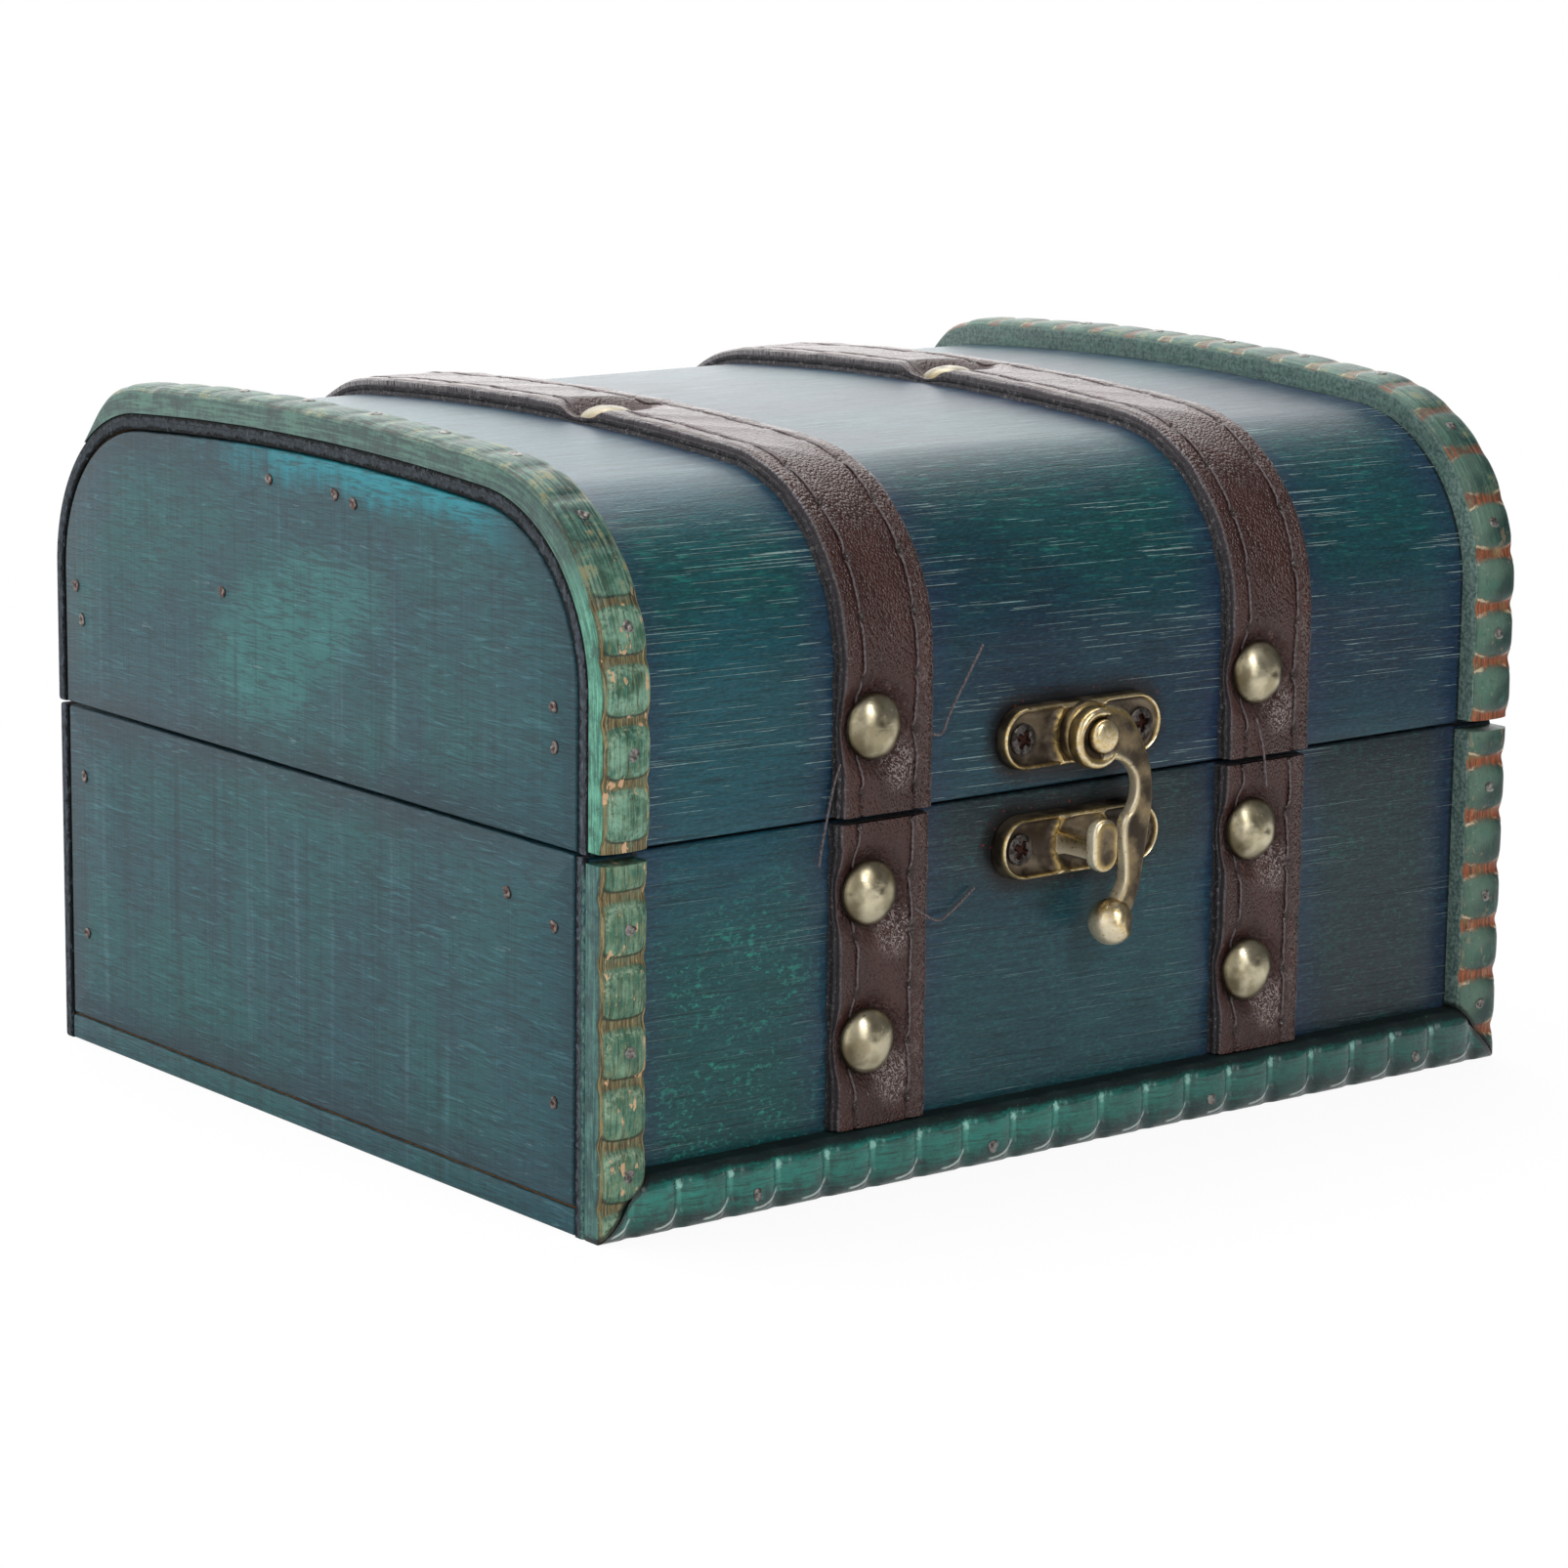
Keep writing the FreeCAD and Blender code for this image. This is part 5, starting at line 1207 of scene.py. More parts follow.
class Strap:
    """One strap on a path: how it is pressed in at its tacks and drawn in along its seams. A tack is given by its
    run, its place across and the depth that it presses."""

    STEP = 0.6 * MM  # length of a row of faces
    ROLL, ROLL_WIDTH = 0.35 * MM, 0.9 * MM  # how far the face rolls down at its edges, and over what width
    HOLE = 0.5 * MM  # depth of a needle's hole
    PUCKER, PUCKER_RING, PUCKERS = 0.12 * MM, 6.3 * MM, 7  # height of the folds round a tack, their ring and number
    CRACKLE_DOWN, CRACKLE_RIGHT = 6 * MM, 4.5 * MM  # the spot of crackled lines and painted sheen, from its tack

    def __init__(self, path, start, end, tacks, seed):
        sizes = settings("strap")
        self.path, self.start, self.end, self.tacks, self.seed = path, start, end, tacks, seed
        self.half = STRAP_WIDTH / 2
        self.seam = self.half - sizes.seam_inset
        self.holes = np.arange(start + sizes.stitch * 0.4, end, sizes.stitch)

    def press(self, run, across):
        """Depth that the strap is pressed in: full under each tack, and eased off to nothing at the dent's reach."""
        reach = settings("strap").dent_reach
        return np.max([depth * (1 - eased(np.hypot(run - place, across - x), 0.5 * reach, 0.95 * reach))
                       for place, x, depth in self.tacks], axis=0)

    def crackle(self, run, across):
        """How crackled the face is, from 0 to 1: bells below and to the right of the tacks, and a
        little all along the right half."""
        away = [np.hypot(0.8 * (run - place + self.CRACKLE_DOWN), across - x - self.CRACKLE_RIGHT)
                for place, x, _ in self.tacks]
        worst = bell(np.min(away, axis=0), 3.5 * MM)
        return np.maximum(worst, 0.4 * eased(across, 0.2 * self.half, 0.8 * self.half))

    def groove(self, run, across):
        """The seams' groove and its needle holes, from 0 to 1: bells about the seams, deeper at each hole."""
        off_seam = np.abs(np.abs(across) - self.seam)
        off_hole = np.abs(run[..., None] - self.holes).min(axis=-1)
        return bell(off_seam, 0.42 * MM), bell(off_seam, 0.62 * MM) * bell(off_hole, 0.6 * MM)

    def puckers(self, run, across):
        """Small folds that run out from under each tack: a cosine of the direction within a ring round it."""
        folds = 0
        for place, x, _ in self.tacks:
            far = np.hypot(run - place, across - x)
            direction = np.arctan2(run - place, across - x)
            folds = folds + bell(far - self.PUCKER_RING, 1.6 * MM) * np.cos(self.PUCKERS * direction + place * 900)
        return folds

    def top(self, run, across):
        """Height of the strap's upper face: its thickness, less the dents, grooves and holes."""
        groove, hole = self.groove(run, across)
        rolled = self.ROLL * eased(np.abs(across), self.half - self.ROLL_WIDTH, self.half)
        return (STRAP_TOP + 0.02 * MM - rolled - self.press(run, across) - settings("strap").seam_depth * groove
                - self.HOLE * hole + self.PUCKER * self.puckers(run, across)
                + 0.1 * MM * wander(run + across, self.seed, 17 * MM))

    def between(self, run, across):
        """Height at which the face lies on the backing."""
        return STRAP_BACKING - 0.75 * self.press(run, across)

    def layer(self, bottom, top, inset, rough):
        """One layer between two heights, which are functions of the run and the place across, with its edges a
        little uneven."""
        share = np.concatenate([[-1, -1, -1], np.linspace(-1, 1, 61), [1, 1, 1]])
        loop = np.concatenate([share, np.linspace(1, -1, 9)])
        level = np.concatenate([[0.3, 0.5, 0.7], np.ones(61), [0.7, 0.5, 0.3], np.zeros(9)])
        runs = np.linspace(self.start, self.end, int((self.end - self.start) / self.STEP))
        run, shares = np.meshgrid(runs, loop, indexing="ij")
        side = np.sign(shares)
        uneven = wander(run * side + 7 * side, self.seed + 3, 9 * MM) + 0.6 * wander(run, self.seed + 5, 1.9 * MM)
        notch = 0.25 * MM * bell(level - 0.5, 0.12) * (rough > 0.11 * MM)
        across = shares * (self.half - inset - notch + rough * uneven * np.abs(shares) ** 6)
        high, low = top(run, across), bottom(run, across)
        edge = eased(np.abs(across), self.half - 0.8 * MM, self.half - 0.1 * MM) + (level < 1)
        groove, hole = self.groove(run, across)
        skin = Skin()
        grid = carried(self.path, run, across, low + (high - low) * level)
        skin.shell(grid, pattern=np.stack([across, run], axis=-1),
                   seam=np.clip(groove * 0.5 + hole, 0, 1), edge=np.clip(edge, 0, 1), ply=bell(level - 0.5, 0.12),
                   press=np.clip(self.press(run, across) / MM, 0, 1), crackle=self.crackle(run, across))
        return skin

    def sewing(self, skin):
        """Adds the thread along both seams: a thin tube that lies in the groove and dips into each hole."""
        thread = settings("strap").thread
        angle = around(7)
        runs = np.linspace(self.holes[0], self.holes[-1], int((self.holes[-1] - self.holes[0]) / (0.5 * MM)))
        for side in (-1, 1):
            line = side * self.seam + 0.15 * MM * wander(runs, self.seed + side, 15 * MM)
            off_hole = np.abs(runs[:, None] - self.holes).min(axis=-1)
            height = self.top(runs, line) + 0.16 * MM - 0.45 * MM * bell(off_hole, 0.8 * MM)
            across = line[:, None] + thread * np.cos(angle)
            run = np.broadcast_to(runs[:, None], across.shape)
            skin.shell(carried(self.path, run, across, height[:, None] + thread * np.sin(angle)),
                       pattern=np.stack([across, run], axis=-1))


def thread_end(skin, points, thick):
    """Adds a loose end of thread: a thin tube along a smooth curve through points."""
    line = through(points, 40)
    along = unit(np.gradient(line, axis=0))
    side = unit(np.cross(along, Y))
    right, up = circle(around(6)).T[..., None]
    skin.shell(line[:, None] + thick * (right * side[:, None] + up * np.cross(side, along)[:, None]))


class CHEST_OT_straps(bpy.types.Operator):
    """Leather straps of the base and the lid: face, backing and sewing"""

    bl_idname = "chest.straps"
    bl_label = "Straps"

    # Loose thread ends as x, distance in front of the sheet and height
    LOOSE = {
        "lid": (((-30.6, 2.2, 67), (-28.2, 2.5, 66.6), (-25.5, 1.6, 70), (-20.5, 2.4, 79)),
                ((-46.4, 1.6, 64), (-47.2, 0.9, 60), (-48.8, 0.6, 52), (-49.4, 0.7, 49))),
        "base": (((-32.5, 2.6, 41), (-28, 2.2, 38.5), (-24.5, 1, 38.8), (-19.5, 0.8, 42)),
                 ((35, 2.9, 62), (36.5, 3.1, 57), (37.5, 3, 51))),
    }

    def execute(self, context):
        sizes = settings("strap")
        lid_end = lid_breaks(0)[0][-1] - sizes.back_lift
        threads = {"base": Skin(), "lid": Skin()}
        for number, (side, sign) in enumerate(SIDES):
            x = sign * STRAP_CENTER
            low, high = corners(f"base_strap_face_{side}")
            straps = {"base": (front_path(x), low[2], high[2]), "lid": (lid_path(x), sizes.gap, lid_end)}
            for part, (path, start, end) in straps.items():
                tacks = []
                for place in middles(f"{part}_strap_tacks"):
                    if place[0] * sign > 0:
                        run = nearest_run(path, place, end)
                        depth = sizes.top_dent if faces_up(path(run)[2]) else sizes.dent
                        tacks.append((run, place[0] - x, depth))
                strap = Strap(path, start, end, tacks, 41 + number + 10 * (part == "base"))
                backing = strap.layer(lambda run, across: 0 * run, strap.between, -sizes.overhang, 0.14 * MM)
                backing.piece(f"{part}_strap_backing_{side}_board", part, "strap_backing", [strap_felt()],
                              f"{part}_strap_backing_{side}")
                face = strap.layer(strap.between, strap.top, 0.1 * MM, 0.1 * MM)
                face.piece(f"{part}_strap_face_{side}_leather", part, "strap_leather", [strap_leather()],
                           f"{part}_strap_face_{side}", sharp=70)
                strap.sewing(threads[part])
        for part, skin in threads.items():
            face = LID_FACE if part == "lid" else BASE_FACE
            for points in self.LOOSE[part]:
                thread_end(skin, [(px * MM, -face - out * MM, pz * MM) for px, out, pz in points], sizes.thread)
            skin.piece(f"{part}_sewing", part, "strap_backing", [sewing_thread()])
        return {"FINISHED"}


# Fasteners


def tack_head(skin, seat, out, radius, dome, dull, seed):
    """Adds a tack's head: a dome whose height goes as the 1.15 power of the sine where its radius goes as the cosine,
    with a rolled edge, a small dimple off its middle and slight dents. Bells of the direction about its lower left
    and its right mark where it is smeared."""
    share = np.concatenate([[0.9, 1.0], np.cos(np.linspace(0.12, np.pi / 2 - 0.06, 18))])
    height = np.concatenate([[0, 0.06], 0.1 + 0.9 * np.sin(np.linspace(0.05, np.pi / 2, 18)) ** 1.15]) * dome
    angle = around(48)
    spot = np.random.default_rng(seed).uniform(-0.35, 0.35, 2)
    dimple = bell(np.linalg.norm(share[:, None, None] * circle(angle) - spot, axis=-1), 0.12)
    dents = wander(angle * radius, seed, 2.6 * radius)[None, :] * (eased(height / dome, 0.1, 0.5) * share)[:, None]
    left, right = (np.angle(np.exp(1j * (angle - middle))) for middle in (3.6, -0.3))
    smear = (bell(left, 0.75) + 0.7 * bell(right, 0.8)) * eased(share, 0.3, 0.95)[:, None]
    grid = turned(np.stack([share * radius, height], axis=-1), seat, out, 48)
    skin.shell(grid - (0.14 * dimple - 0.12 * dents)[..., None] * MM * np.asarray(out), dimple=dimple, smear=smear,
               rim=eased(share, 0.75, 1.0)[:, None], dull=np.full(grid.shape[:2], dull))


class CHEST_OT_tacks(bpy.types.Operator):
    """Brass tacks through the straps"""

    bl_idname = "chest.tacks"
    bl_label = "Tacks"

    DOME = 0.56  # height of a head as a share of its radius
    STAND = 1.8 * MM  # most that a head stands out over the strap
    TOP_SINK = 2.1 * MM  # how much deeper a head sits on the lid's top

    def execute(self, context):
        far = lid_breaks(0)[0][-1]
        for part in ("base", "lid"):
            skin = Skin()
            for number, (low, high) in enumerate(solids(f"{part}_strap_tacks")):
                middle = (low + high) / 2
                radius = (high - low)[0] / 2
                if part == "lid":
                    path = lid_path(middle[0])
                    place, _, out = path(nearest_run(path, middle, far))
                    reach = np.max([(corner - place) @ out for corner in (low, high)])
                else:
                    place, out = np.array([middle[0], -BASE_FACE, middle[2]]), -Y
                    reach = -low[1] - BASE_FACE
                dome, on_top = radius * self.DOME, float(faces_up(out))
                seat = min(reach, STRAP_TOP + self.STAND) - dome - self.TOP_SINK * on_top
                tack_head(skin, place + out * seat, out, radius, dome, on_top, 61 + number)
            skin.piece(f"{part}_tacks", part, "tack_brass", [tack_brass()], f"{part}_strap_tacks", sharp=70)
        return {"FINISHED"}


def height_at(name, place, out):
    """How far a finished piece stands out at a place: the highest of its points within a millimetre of the line
    through the place along the outward direction."""
    offset = points_of(bpy.data.objects[name]) - place
    along = offset @ out
    beside = np.linalg.norm(offset - along[:, None] * out, axis=1)
    return along[beside < MM].max()


class CHEST_OT_brads(bpy.types.Operator):
    """Brads in the trims and the end panels"""

    bl_idname = "chest.brads"
    bl_label = "Brads"

    # Later brads in the left end panels, as y and z in millimetres
    LATER = {"base": ((-53, 47),), "lid": ((-14, 98), (22.5, 80), (-64, 75.5), (66, 75))}
    # A brad from its shank to the middle of its head: radius and height in millimetres and how rusty it is
    SECTION = ((0.8, -1.6, 0.2), (0.95, -0.1, 0.5), (0.9, 0.12, 0.1), (0.65, 0.24, 0), (0.3, 0.16, 0), (0.1, 0.1, 0.2))
    END_RUST = 0.45  # how much rustier the brads in the end panels are

    def execute(self, context):
        far = lid_breaks(0)[0][-1]
        profile, rust = section(self.SECTION)
        for part, kind in (("base", "trim"), ("lid", "trim"), ("base", "end"), ("lid", "end")):
            skin = Skin()
            places = middles(f"{part}_{kind}_brads")
            if kind == "end":
                places += [np.array([-HALF_LENGTH, y * MM, z * MM]) for y, z in self.LATER[part]]
            for number, middle in enumerate(places):
                if kind == "end":
                    out = np.sign(middle[0]) * X
                    head = np.array([np.sign(middle[0]) * HALF_LENGTH, middle[1], middle[2]])
                else:
                    path = front_path(middle[0]) if part == "base" else lid_path(middle[0])
                    place, _, out = path(nearest_run(path, middle, far))
                    side = "left" if middle[0] < 0 else "right"
                    upright = part == "lid" or HALF_LENGTH - abs(middle[0]) < TRIM_WIDTH
                    name = f"{part}_corner_{side}" if upright else "bottom_moulding"
                    head = place + out * (height_at(name, place, out) - 0.05 * MM)
                uneven = 1 + 0.25 * wander(np.arange(14) / 14, 71 + number, 0.7)
                grid = head + (turned(profile, head, out, 14) - head) * uneven[None, :, None]
                skin.shell(grid, recess=rust + self.END_RUST * (kind == "end"))
            skin.piece(f"{part}_{kind}_pins", part, "brad_steel", [steel("brad")], f"{part}_{kind}_brads")
        return {"FINISHED"}


def cross_screw(skin, seat, out, radius, dome, turn):
    """Adds a screw's head: a low dome with a cross cut into it, whose arms are where the smaller of the two
    distances from the cross's middle lines is under the arm's half width."""
    face = np.linspace(0.94, 0.03, 22)
    share = np.concatenate([[0.96, 1.0, 0.985], face])
    height = dome * np.concatenate([[-0.2, 0.25, 0.5], 1 - 0.45 * face**2.2])
    x, y = (share[:, None, None] * circle(around(64) + turn)).transpose(2, 0, 1)
    arm = 1 - eased(np.minimum(np.abs(x), np.abs(y)), 0.11, 0.25)
    inside = 1 - eased(np.hypot(x, y), 0.5, 0.66)
    recess = arm * inside * (np.arange(len(share)) > 2)[:, None]
    grid = turned(np.stack([share * radius, height], axis=-1), seat, out, 64)
    skin.shell(grid - (recess * dome * 0.75)[..., None] * np.asarray(out), recess=recess)


def screw_heads(name, body, node, face, out, dome, turn, step):
    """Heads for a node's screws on a face across Y, each turned by a step more than the one before."""
    skin = Skin()
    for number, (low, high) in enumerate(solids(node)):
        x, _, z = (low + high) / 2
        cross_screw(skin, np.array([x, face, z]), out, (high - low)[0] / 2, dome, turn + step * number)
    skin.piece(name, body, "screw_steel", [steel("screw")], node)


# Latch


def stadium(half, radius, sides=60, ends=24):
    """Round a stadium: points on its middle line, and the directions out from it to its rim."""
    line = np.linspace(half, -half, sides)
    turn = np.linspace(0, np.pi, ends)
    middle = np.concatenate([line, np.full(ends, -half), -line, np.full(ends, half)])
    half_turn = np.concatenate([np.full(sides, np.pi / 2), turn + np.pi / 2])
    return middle, circle(np.concatenate([half_turn, half_turn + np.pi])) * radius


# Section of a latch plate from its foot to its dish: share of the half height, share of the rise and how rubbed it is
PLATE_SECTION = ((0.98, 0, 0), (1.0, 0.05, 0), (1.0, 0.23, 0), (0.985, 0.53, 0.05), (0.965, 0.77, 0.3),
                 (0.935, 0.92, 0.85), (0.9, 1.0, 1), (0.865, 0.96, 1), (0.83, 0.84, 0.4), (0.79, 0.7, 0.1),
                 (0.72, 0.63, 0.02), (0.6, 0.61, 0))


def latch_plate(skin, origin, rise):
    """Adds a dished plate: a section carried round a stadium, then drawn in to the middle. A ridge crosses each
    lobe next to the middle, and between the ridges the dish rises towards the rim."""
    size = plate_high - plate_low
    middle, rim = stadium((size[0] - size[2]) / 2, size[2] / 2)
    share, height, rubbed = np.array(PLATE_SECTION).T[..., None]
    outer = np.stack([middle + share * rim[:, 0], share * rim[:, 1]], axis=-1)
    across, along = np.concatenate([outer, np.linspace(0.93, 0.02, 14)[:, None, None] * outer[-1]]).transpose(2, 0, 1)
    height, rubbed, share = (np.concatenate([part, np.repeat(part[-1:], 14, axis=0)])
                             for part in (height, rubbed, share))
    inside = 1 - eased(share, 0.8, 0.9)
    ridge = bell(np.hypot(across, along) - 5.5 * MM, 0.7 * MM) * inside
    raised = (1 - eased(np.hypot(across, along), 4.6 * MM, 5.6 * MM)) * inside
    level = rise * (height + 0.32 * ridge + 0.18 * raised) + 0.05 * MM * wander(across + 3 * along, 5, 9 * MM) * inside
    skin.shell(laid(origin, X, Z, -Y, across, along, level), rubbed=np.clip(rubbed + 0.6 * ridge + 0.2 * raised, 0, 1))


class CHEST_OT_plates(bpy.types.Operator):
    """Latch plates with their screws and the hook's rivet"""

    bl_idname = "chest.plates"
    bl_label = "Latch plates"

    # The boss under the hook's eye: radius in millimetres, share of its height and how rubbed it is
    BOSS = ((4.6, 0.1, 0), (4.75, 0.45, 0), (4.8, 0.7, 0.1), (4.7, 0.85, 0.3), (4.45, 0.95, 0.5), (4.1, 1, 0.3),
            (2.2, 1, 0.1), (0.3, 1, 0.1))
    # The rivet below its top: radius and height in millimetres and how rubbed it is
    RIVET = ((1.6, -4.2, 0), (1.6, -2.1, 0), (2.0, -1.9, 0.1), (2.5, -1.6, 0.3), (2.6, -1.2, 0.7), (2.55, -0.7, 1),
             (2.35, -0.35, 1), (1.8, -0.12, 0.9), (1.0, -0.02, 0.85), (0.1, 0, 0.85))
    RIVET_STAND = 4.0 * MM  # the rivet's top over the boss
    SUNK = 0.6  # seat of a screw's head as a share of its plate's thickness

    def execute(self, context):
        sizes, brass = settings("latch"), antique_brass()
        catch, hook, rivet = Skin(), Skin(), Skin()
        latch_plate(catch, (0, -BASE_FACE, CATCH_HEIGHT), sizes.catch_rise)
        catch.piece("catch_plate_brass", "base", "latch_brass", [brass], "catch_plate", sharp=60)
        seat = np.array([0, -LID_FACE, PIVOT[2]])
        latch_plate(hook, seat, sizes.hook_rise)
        boss, rubbed = section(self.BOSS)
        hook.shell(turned(boss * (1, sizes.boss / MM), seat, -Y, 48), rubbed=rubbed)
        hook.piece("hook_plate_brass", "lid", "latch_brass", [brass], "hook_plate", sharp=60)
        for part, kind, face, rise in (("base", "catch", BASE_FACE, sizes.catch_rise),
                                       ("lid", "hook", LID_FACE, sizes.hook_rise)):
            screw_heads(f"{kind}_plate_screws_heads", part, f"{kind}_plate_screws", -face - self.SUNK * rise, -Y,
                        0.9 * MM, 0.5, 0.9)
        profile, rubbed = section(self.RIVET)
        rivet.shell(turned(profile + (0, sizes.boss + self.RIVET_STAND), seat, -Y, 40), rubbed=rubbed)
        rivet.piece("hook_rivet_head", "lid", "latch_brass", [brass], "hook_rivet", sharp=60)
        return {"FINISHED"}


class CHEST_OT_post(bpy.types.Operator):
    """Catch post: a rounded bar out of the plate with an upright tab for a head"""

    bl_idname = "chest.post"
    bl_label = "Catch post"

    # The bar from the plate to its head: share of its reach and half its height in millimetres
    BAR = ((0.05, 2.0), (0.16, 2.0), (0.2, 1.85), (0.24, 1.6), (0.4, 1.5), (0.6, 1.5), (0.8, 1.55), (0.93, 1.7))
    # The tab from back to front: share of its half width, share of its thickness, how rubbed it is and how pale its
    # painted highlight is
    TAB = ((0.6, 0, 0.3, 0.4), (0.88, 0.04, 0.6, 0.8), (0.98, 0.15, 0.9, 1), (1, 0.35, 1, 1), (1, 0.65, 1, 1),
           (0.97, 0.8, 1, 0.9), (0.9, 0.9, 0.9, 0.5), (0.75, 0.96, 0.6, 0.1), (0.5, 0.97, 0.3, 0), (0.25, 0.96, 0.2, 0),
           (0.04, 0.96, 0.2, 0))

    def execute(self, context):
        sizes = settings("latch")
        low, high = corners("catch_post")
        width, height = (high - low)[0] * 1.1, (high - low)[2]
        reach = -low[1] - BASE_FACE - sizes.post_short
        root = np.array([(low[0] + high[0]) / 2, -BASE_FACE, (low[2] + high[2]) / 2 + 0.3 * MM])
        skin = Skin()
        wide, tall = squared(circle(around(32)).T, 0.5)
        out, size = (np.array(self.BAR) * (reach, MM)).T[..., None]
        # The pale mark paints a highlight along the bar's lower side and on the tab's left side
        skin.shell(laid(root, X, Z, -Y, size * wide * 0.85, size * tall, out),
                   rubbed=np.clip(0.75 + 0.4 * np.abs(tall), 0, 1)[None, :],
                   pale=np.clip(0.45 - 0.75 * tall, 0, 1)[None, :])
        middle, rim = stadium((height - width) / 2, width / 2, 12, 20)
        share, level, rubbed, pale = np.array(self.TAB).T[..., None]
        seat = root - Y * (reach - sizes.tab) + Z * sizes.tab_lift
        skin.shell(laid(seat, X, Z, -Y, share * rim[:, 1], middle + share * rim[:, 0], level * sizes.tab),
                   rubbed=rubbed, pale=np.clip(-rim[:, 1] / width * 2, 0, 1) * pale)
        skin.piece("catch_post_brass", "base", "latch_brass", [antique_brass()], "catch_post", sharp=60)
        return {"FINISHED"}


class CHEST_OT_hook(bpy.types.Operator):
    """Hook that hangs on the rivet: an eye with a raised rim, a curved arm and a ball end"""

    bl_idname = "chest.hook"
    bl_label = "Hook"

    # The arm from the eye to the ball: right of the pivot, above it, half width and half thickness in millimetres
    ARM = ((0.3, 0.1, 4.5, 1.4), (2.6, -0.1, 4.2, 1.4), (4.9, -1.5, 3.2, 1.38), (6.9, -3.6, 2.2, 1.35),
           (8.3, -6.1, 1.7, 1.32), (8.75, -8.25, 1.6, 1.3), (8.7, -10.7, 1.8, 1.3), (8.05, -13.1, 2.3, 1.3),
           (7.4, -14.6, 2.75, 1.3), (7.2, -16.8, 2.5, 1.3), (7.1, -19.6, 2.0, 1.3), (6.8, -22.4, 1.65, 1.45),
           (6.2, -24.4, 1.6, 1.6), (5.2, -26.3, 1.7, 1.7), (4.1, -27.8, 1.5, 1.5))
    BALL = (3.3, -28.9, 3.6)  # right of the pivot, above it and the radius in millimetres
    # Section of the eye round its bore: radius and height in millimetres and how rubbed it is
    EYE = ((1.65, 0.1, 0), (1.65, 1.7, 0), (1.9, 1.85, 0.1), (2.7, 1.85, 0.1), (3.05, 2.1, 0.25), (3.4, 2.4, 0.6),
           (3.8, 2.58, 0.9), (4.2, 2.55, 1), (4.5, 2.3, 0.9), (4.68, 1.8, 0.6), (4.7, 0.5, 0.2), (4.55, 0.12, 0),
           (4.2, 0, 0), (2, 0, 0))

    def execute(self, context):
        sizes = settings("latch")
        back = -LID_FACE - sizes.boss - 0.3 * MM
        skin = Skin()
        ring, rubbed = section(self.EYE)
        eye = (PIVOT[0] - 0.4 * MM, back, PIVOT[2] - 0.4 * MM)
        skin.shell(turned(ring, eye, -Y, 48), closed=True, rubbed=rubbed)
        line = through(self.ARM, 90) * MM
        along = unit(np.gradient(line[:, :2], axis=0))
        wide, deep = squared(np.cos(around(40)), 0.55), squared(np.sin(around(40)), 0.6)
        across = line[:, 2:3] * wide
        grid = laid((PIVOT[0], back - 1.3 * MM, PIVOT[2]), X, Z, -Y, line[:, 0:1] + along[:, 1:2] * across,
                    line[:, 1:2] - along[:, 0:1] * across, line[:, 3:4] * deep)
        worn = 0.24 + 0.76 * bell(np.abs(wide) - 0.97, 0.16) * eased(deep, -0.9, 0.1)
        # The pale mark paints a highlight along one side wall of the arm
        skin.shell(grid, rubbed=np.broadcast_to(worn, grid.shape[:2]), pale=eased(wide, 0.6, 1.0)[None, :] * 0.8)
        radius = self.BALL[2] * MM
        turn = np.linspace(0.03, np.pi - 0.03, 30)[:, None]
        middle = (PIVOT[0] + self.BALL[0] * MM, back - 1.5 * MM, PIVOT[2] + self.BALL[1] * MM)
        angle = around(44)
        x, z, out = np.sin(turn) * np.cos(angle), np.sin(turn) * np.sin(angle), -np.cos(turn) + 0 * angle
        facet = eased(0.55 * x + 0.1 * z + 0.83 * out, 0.72, 0.95)
        # The pale mark paints a highlight on the ball's lower left
        skin.shell(laid(middle, X, Z, -Y, *(radius * (1 - 0.13 * facet) * part for part in (x, z, out * 0.95))),
                   rubbed=0.95 - 0.75 * facet, pale=eased(-x - z, 0.1, 1.0) * 0.7)
        skin.piece("latch_hook_brass", "hook", "latch_brass", [antique_brass()], "latch_hook", sharp=70)
        return {"FINISHED"}


# Hinges


def barrel(skin, start, end, axis, radius, dome):
    """Adds a round bar along X from a start to an end about an axis, with both its ends rounded off."""
    turn = np.linspace(0.05, np.pi / 2, 5)
    ring, inset = radius - dome + dome * np.sin(turn), dome * (1 - np.cos(turn))
    profile = np.stack([np.append(ring, ring[::-1]), np.append(inset, end - start - inset[::-1])], axis=-1)
    skin.shell(turned(profile, (start, *axis[1:]), X, 28, right=Y), rubbed=np.full((10, 1), 0.45))


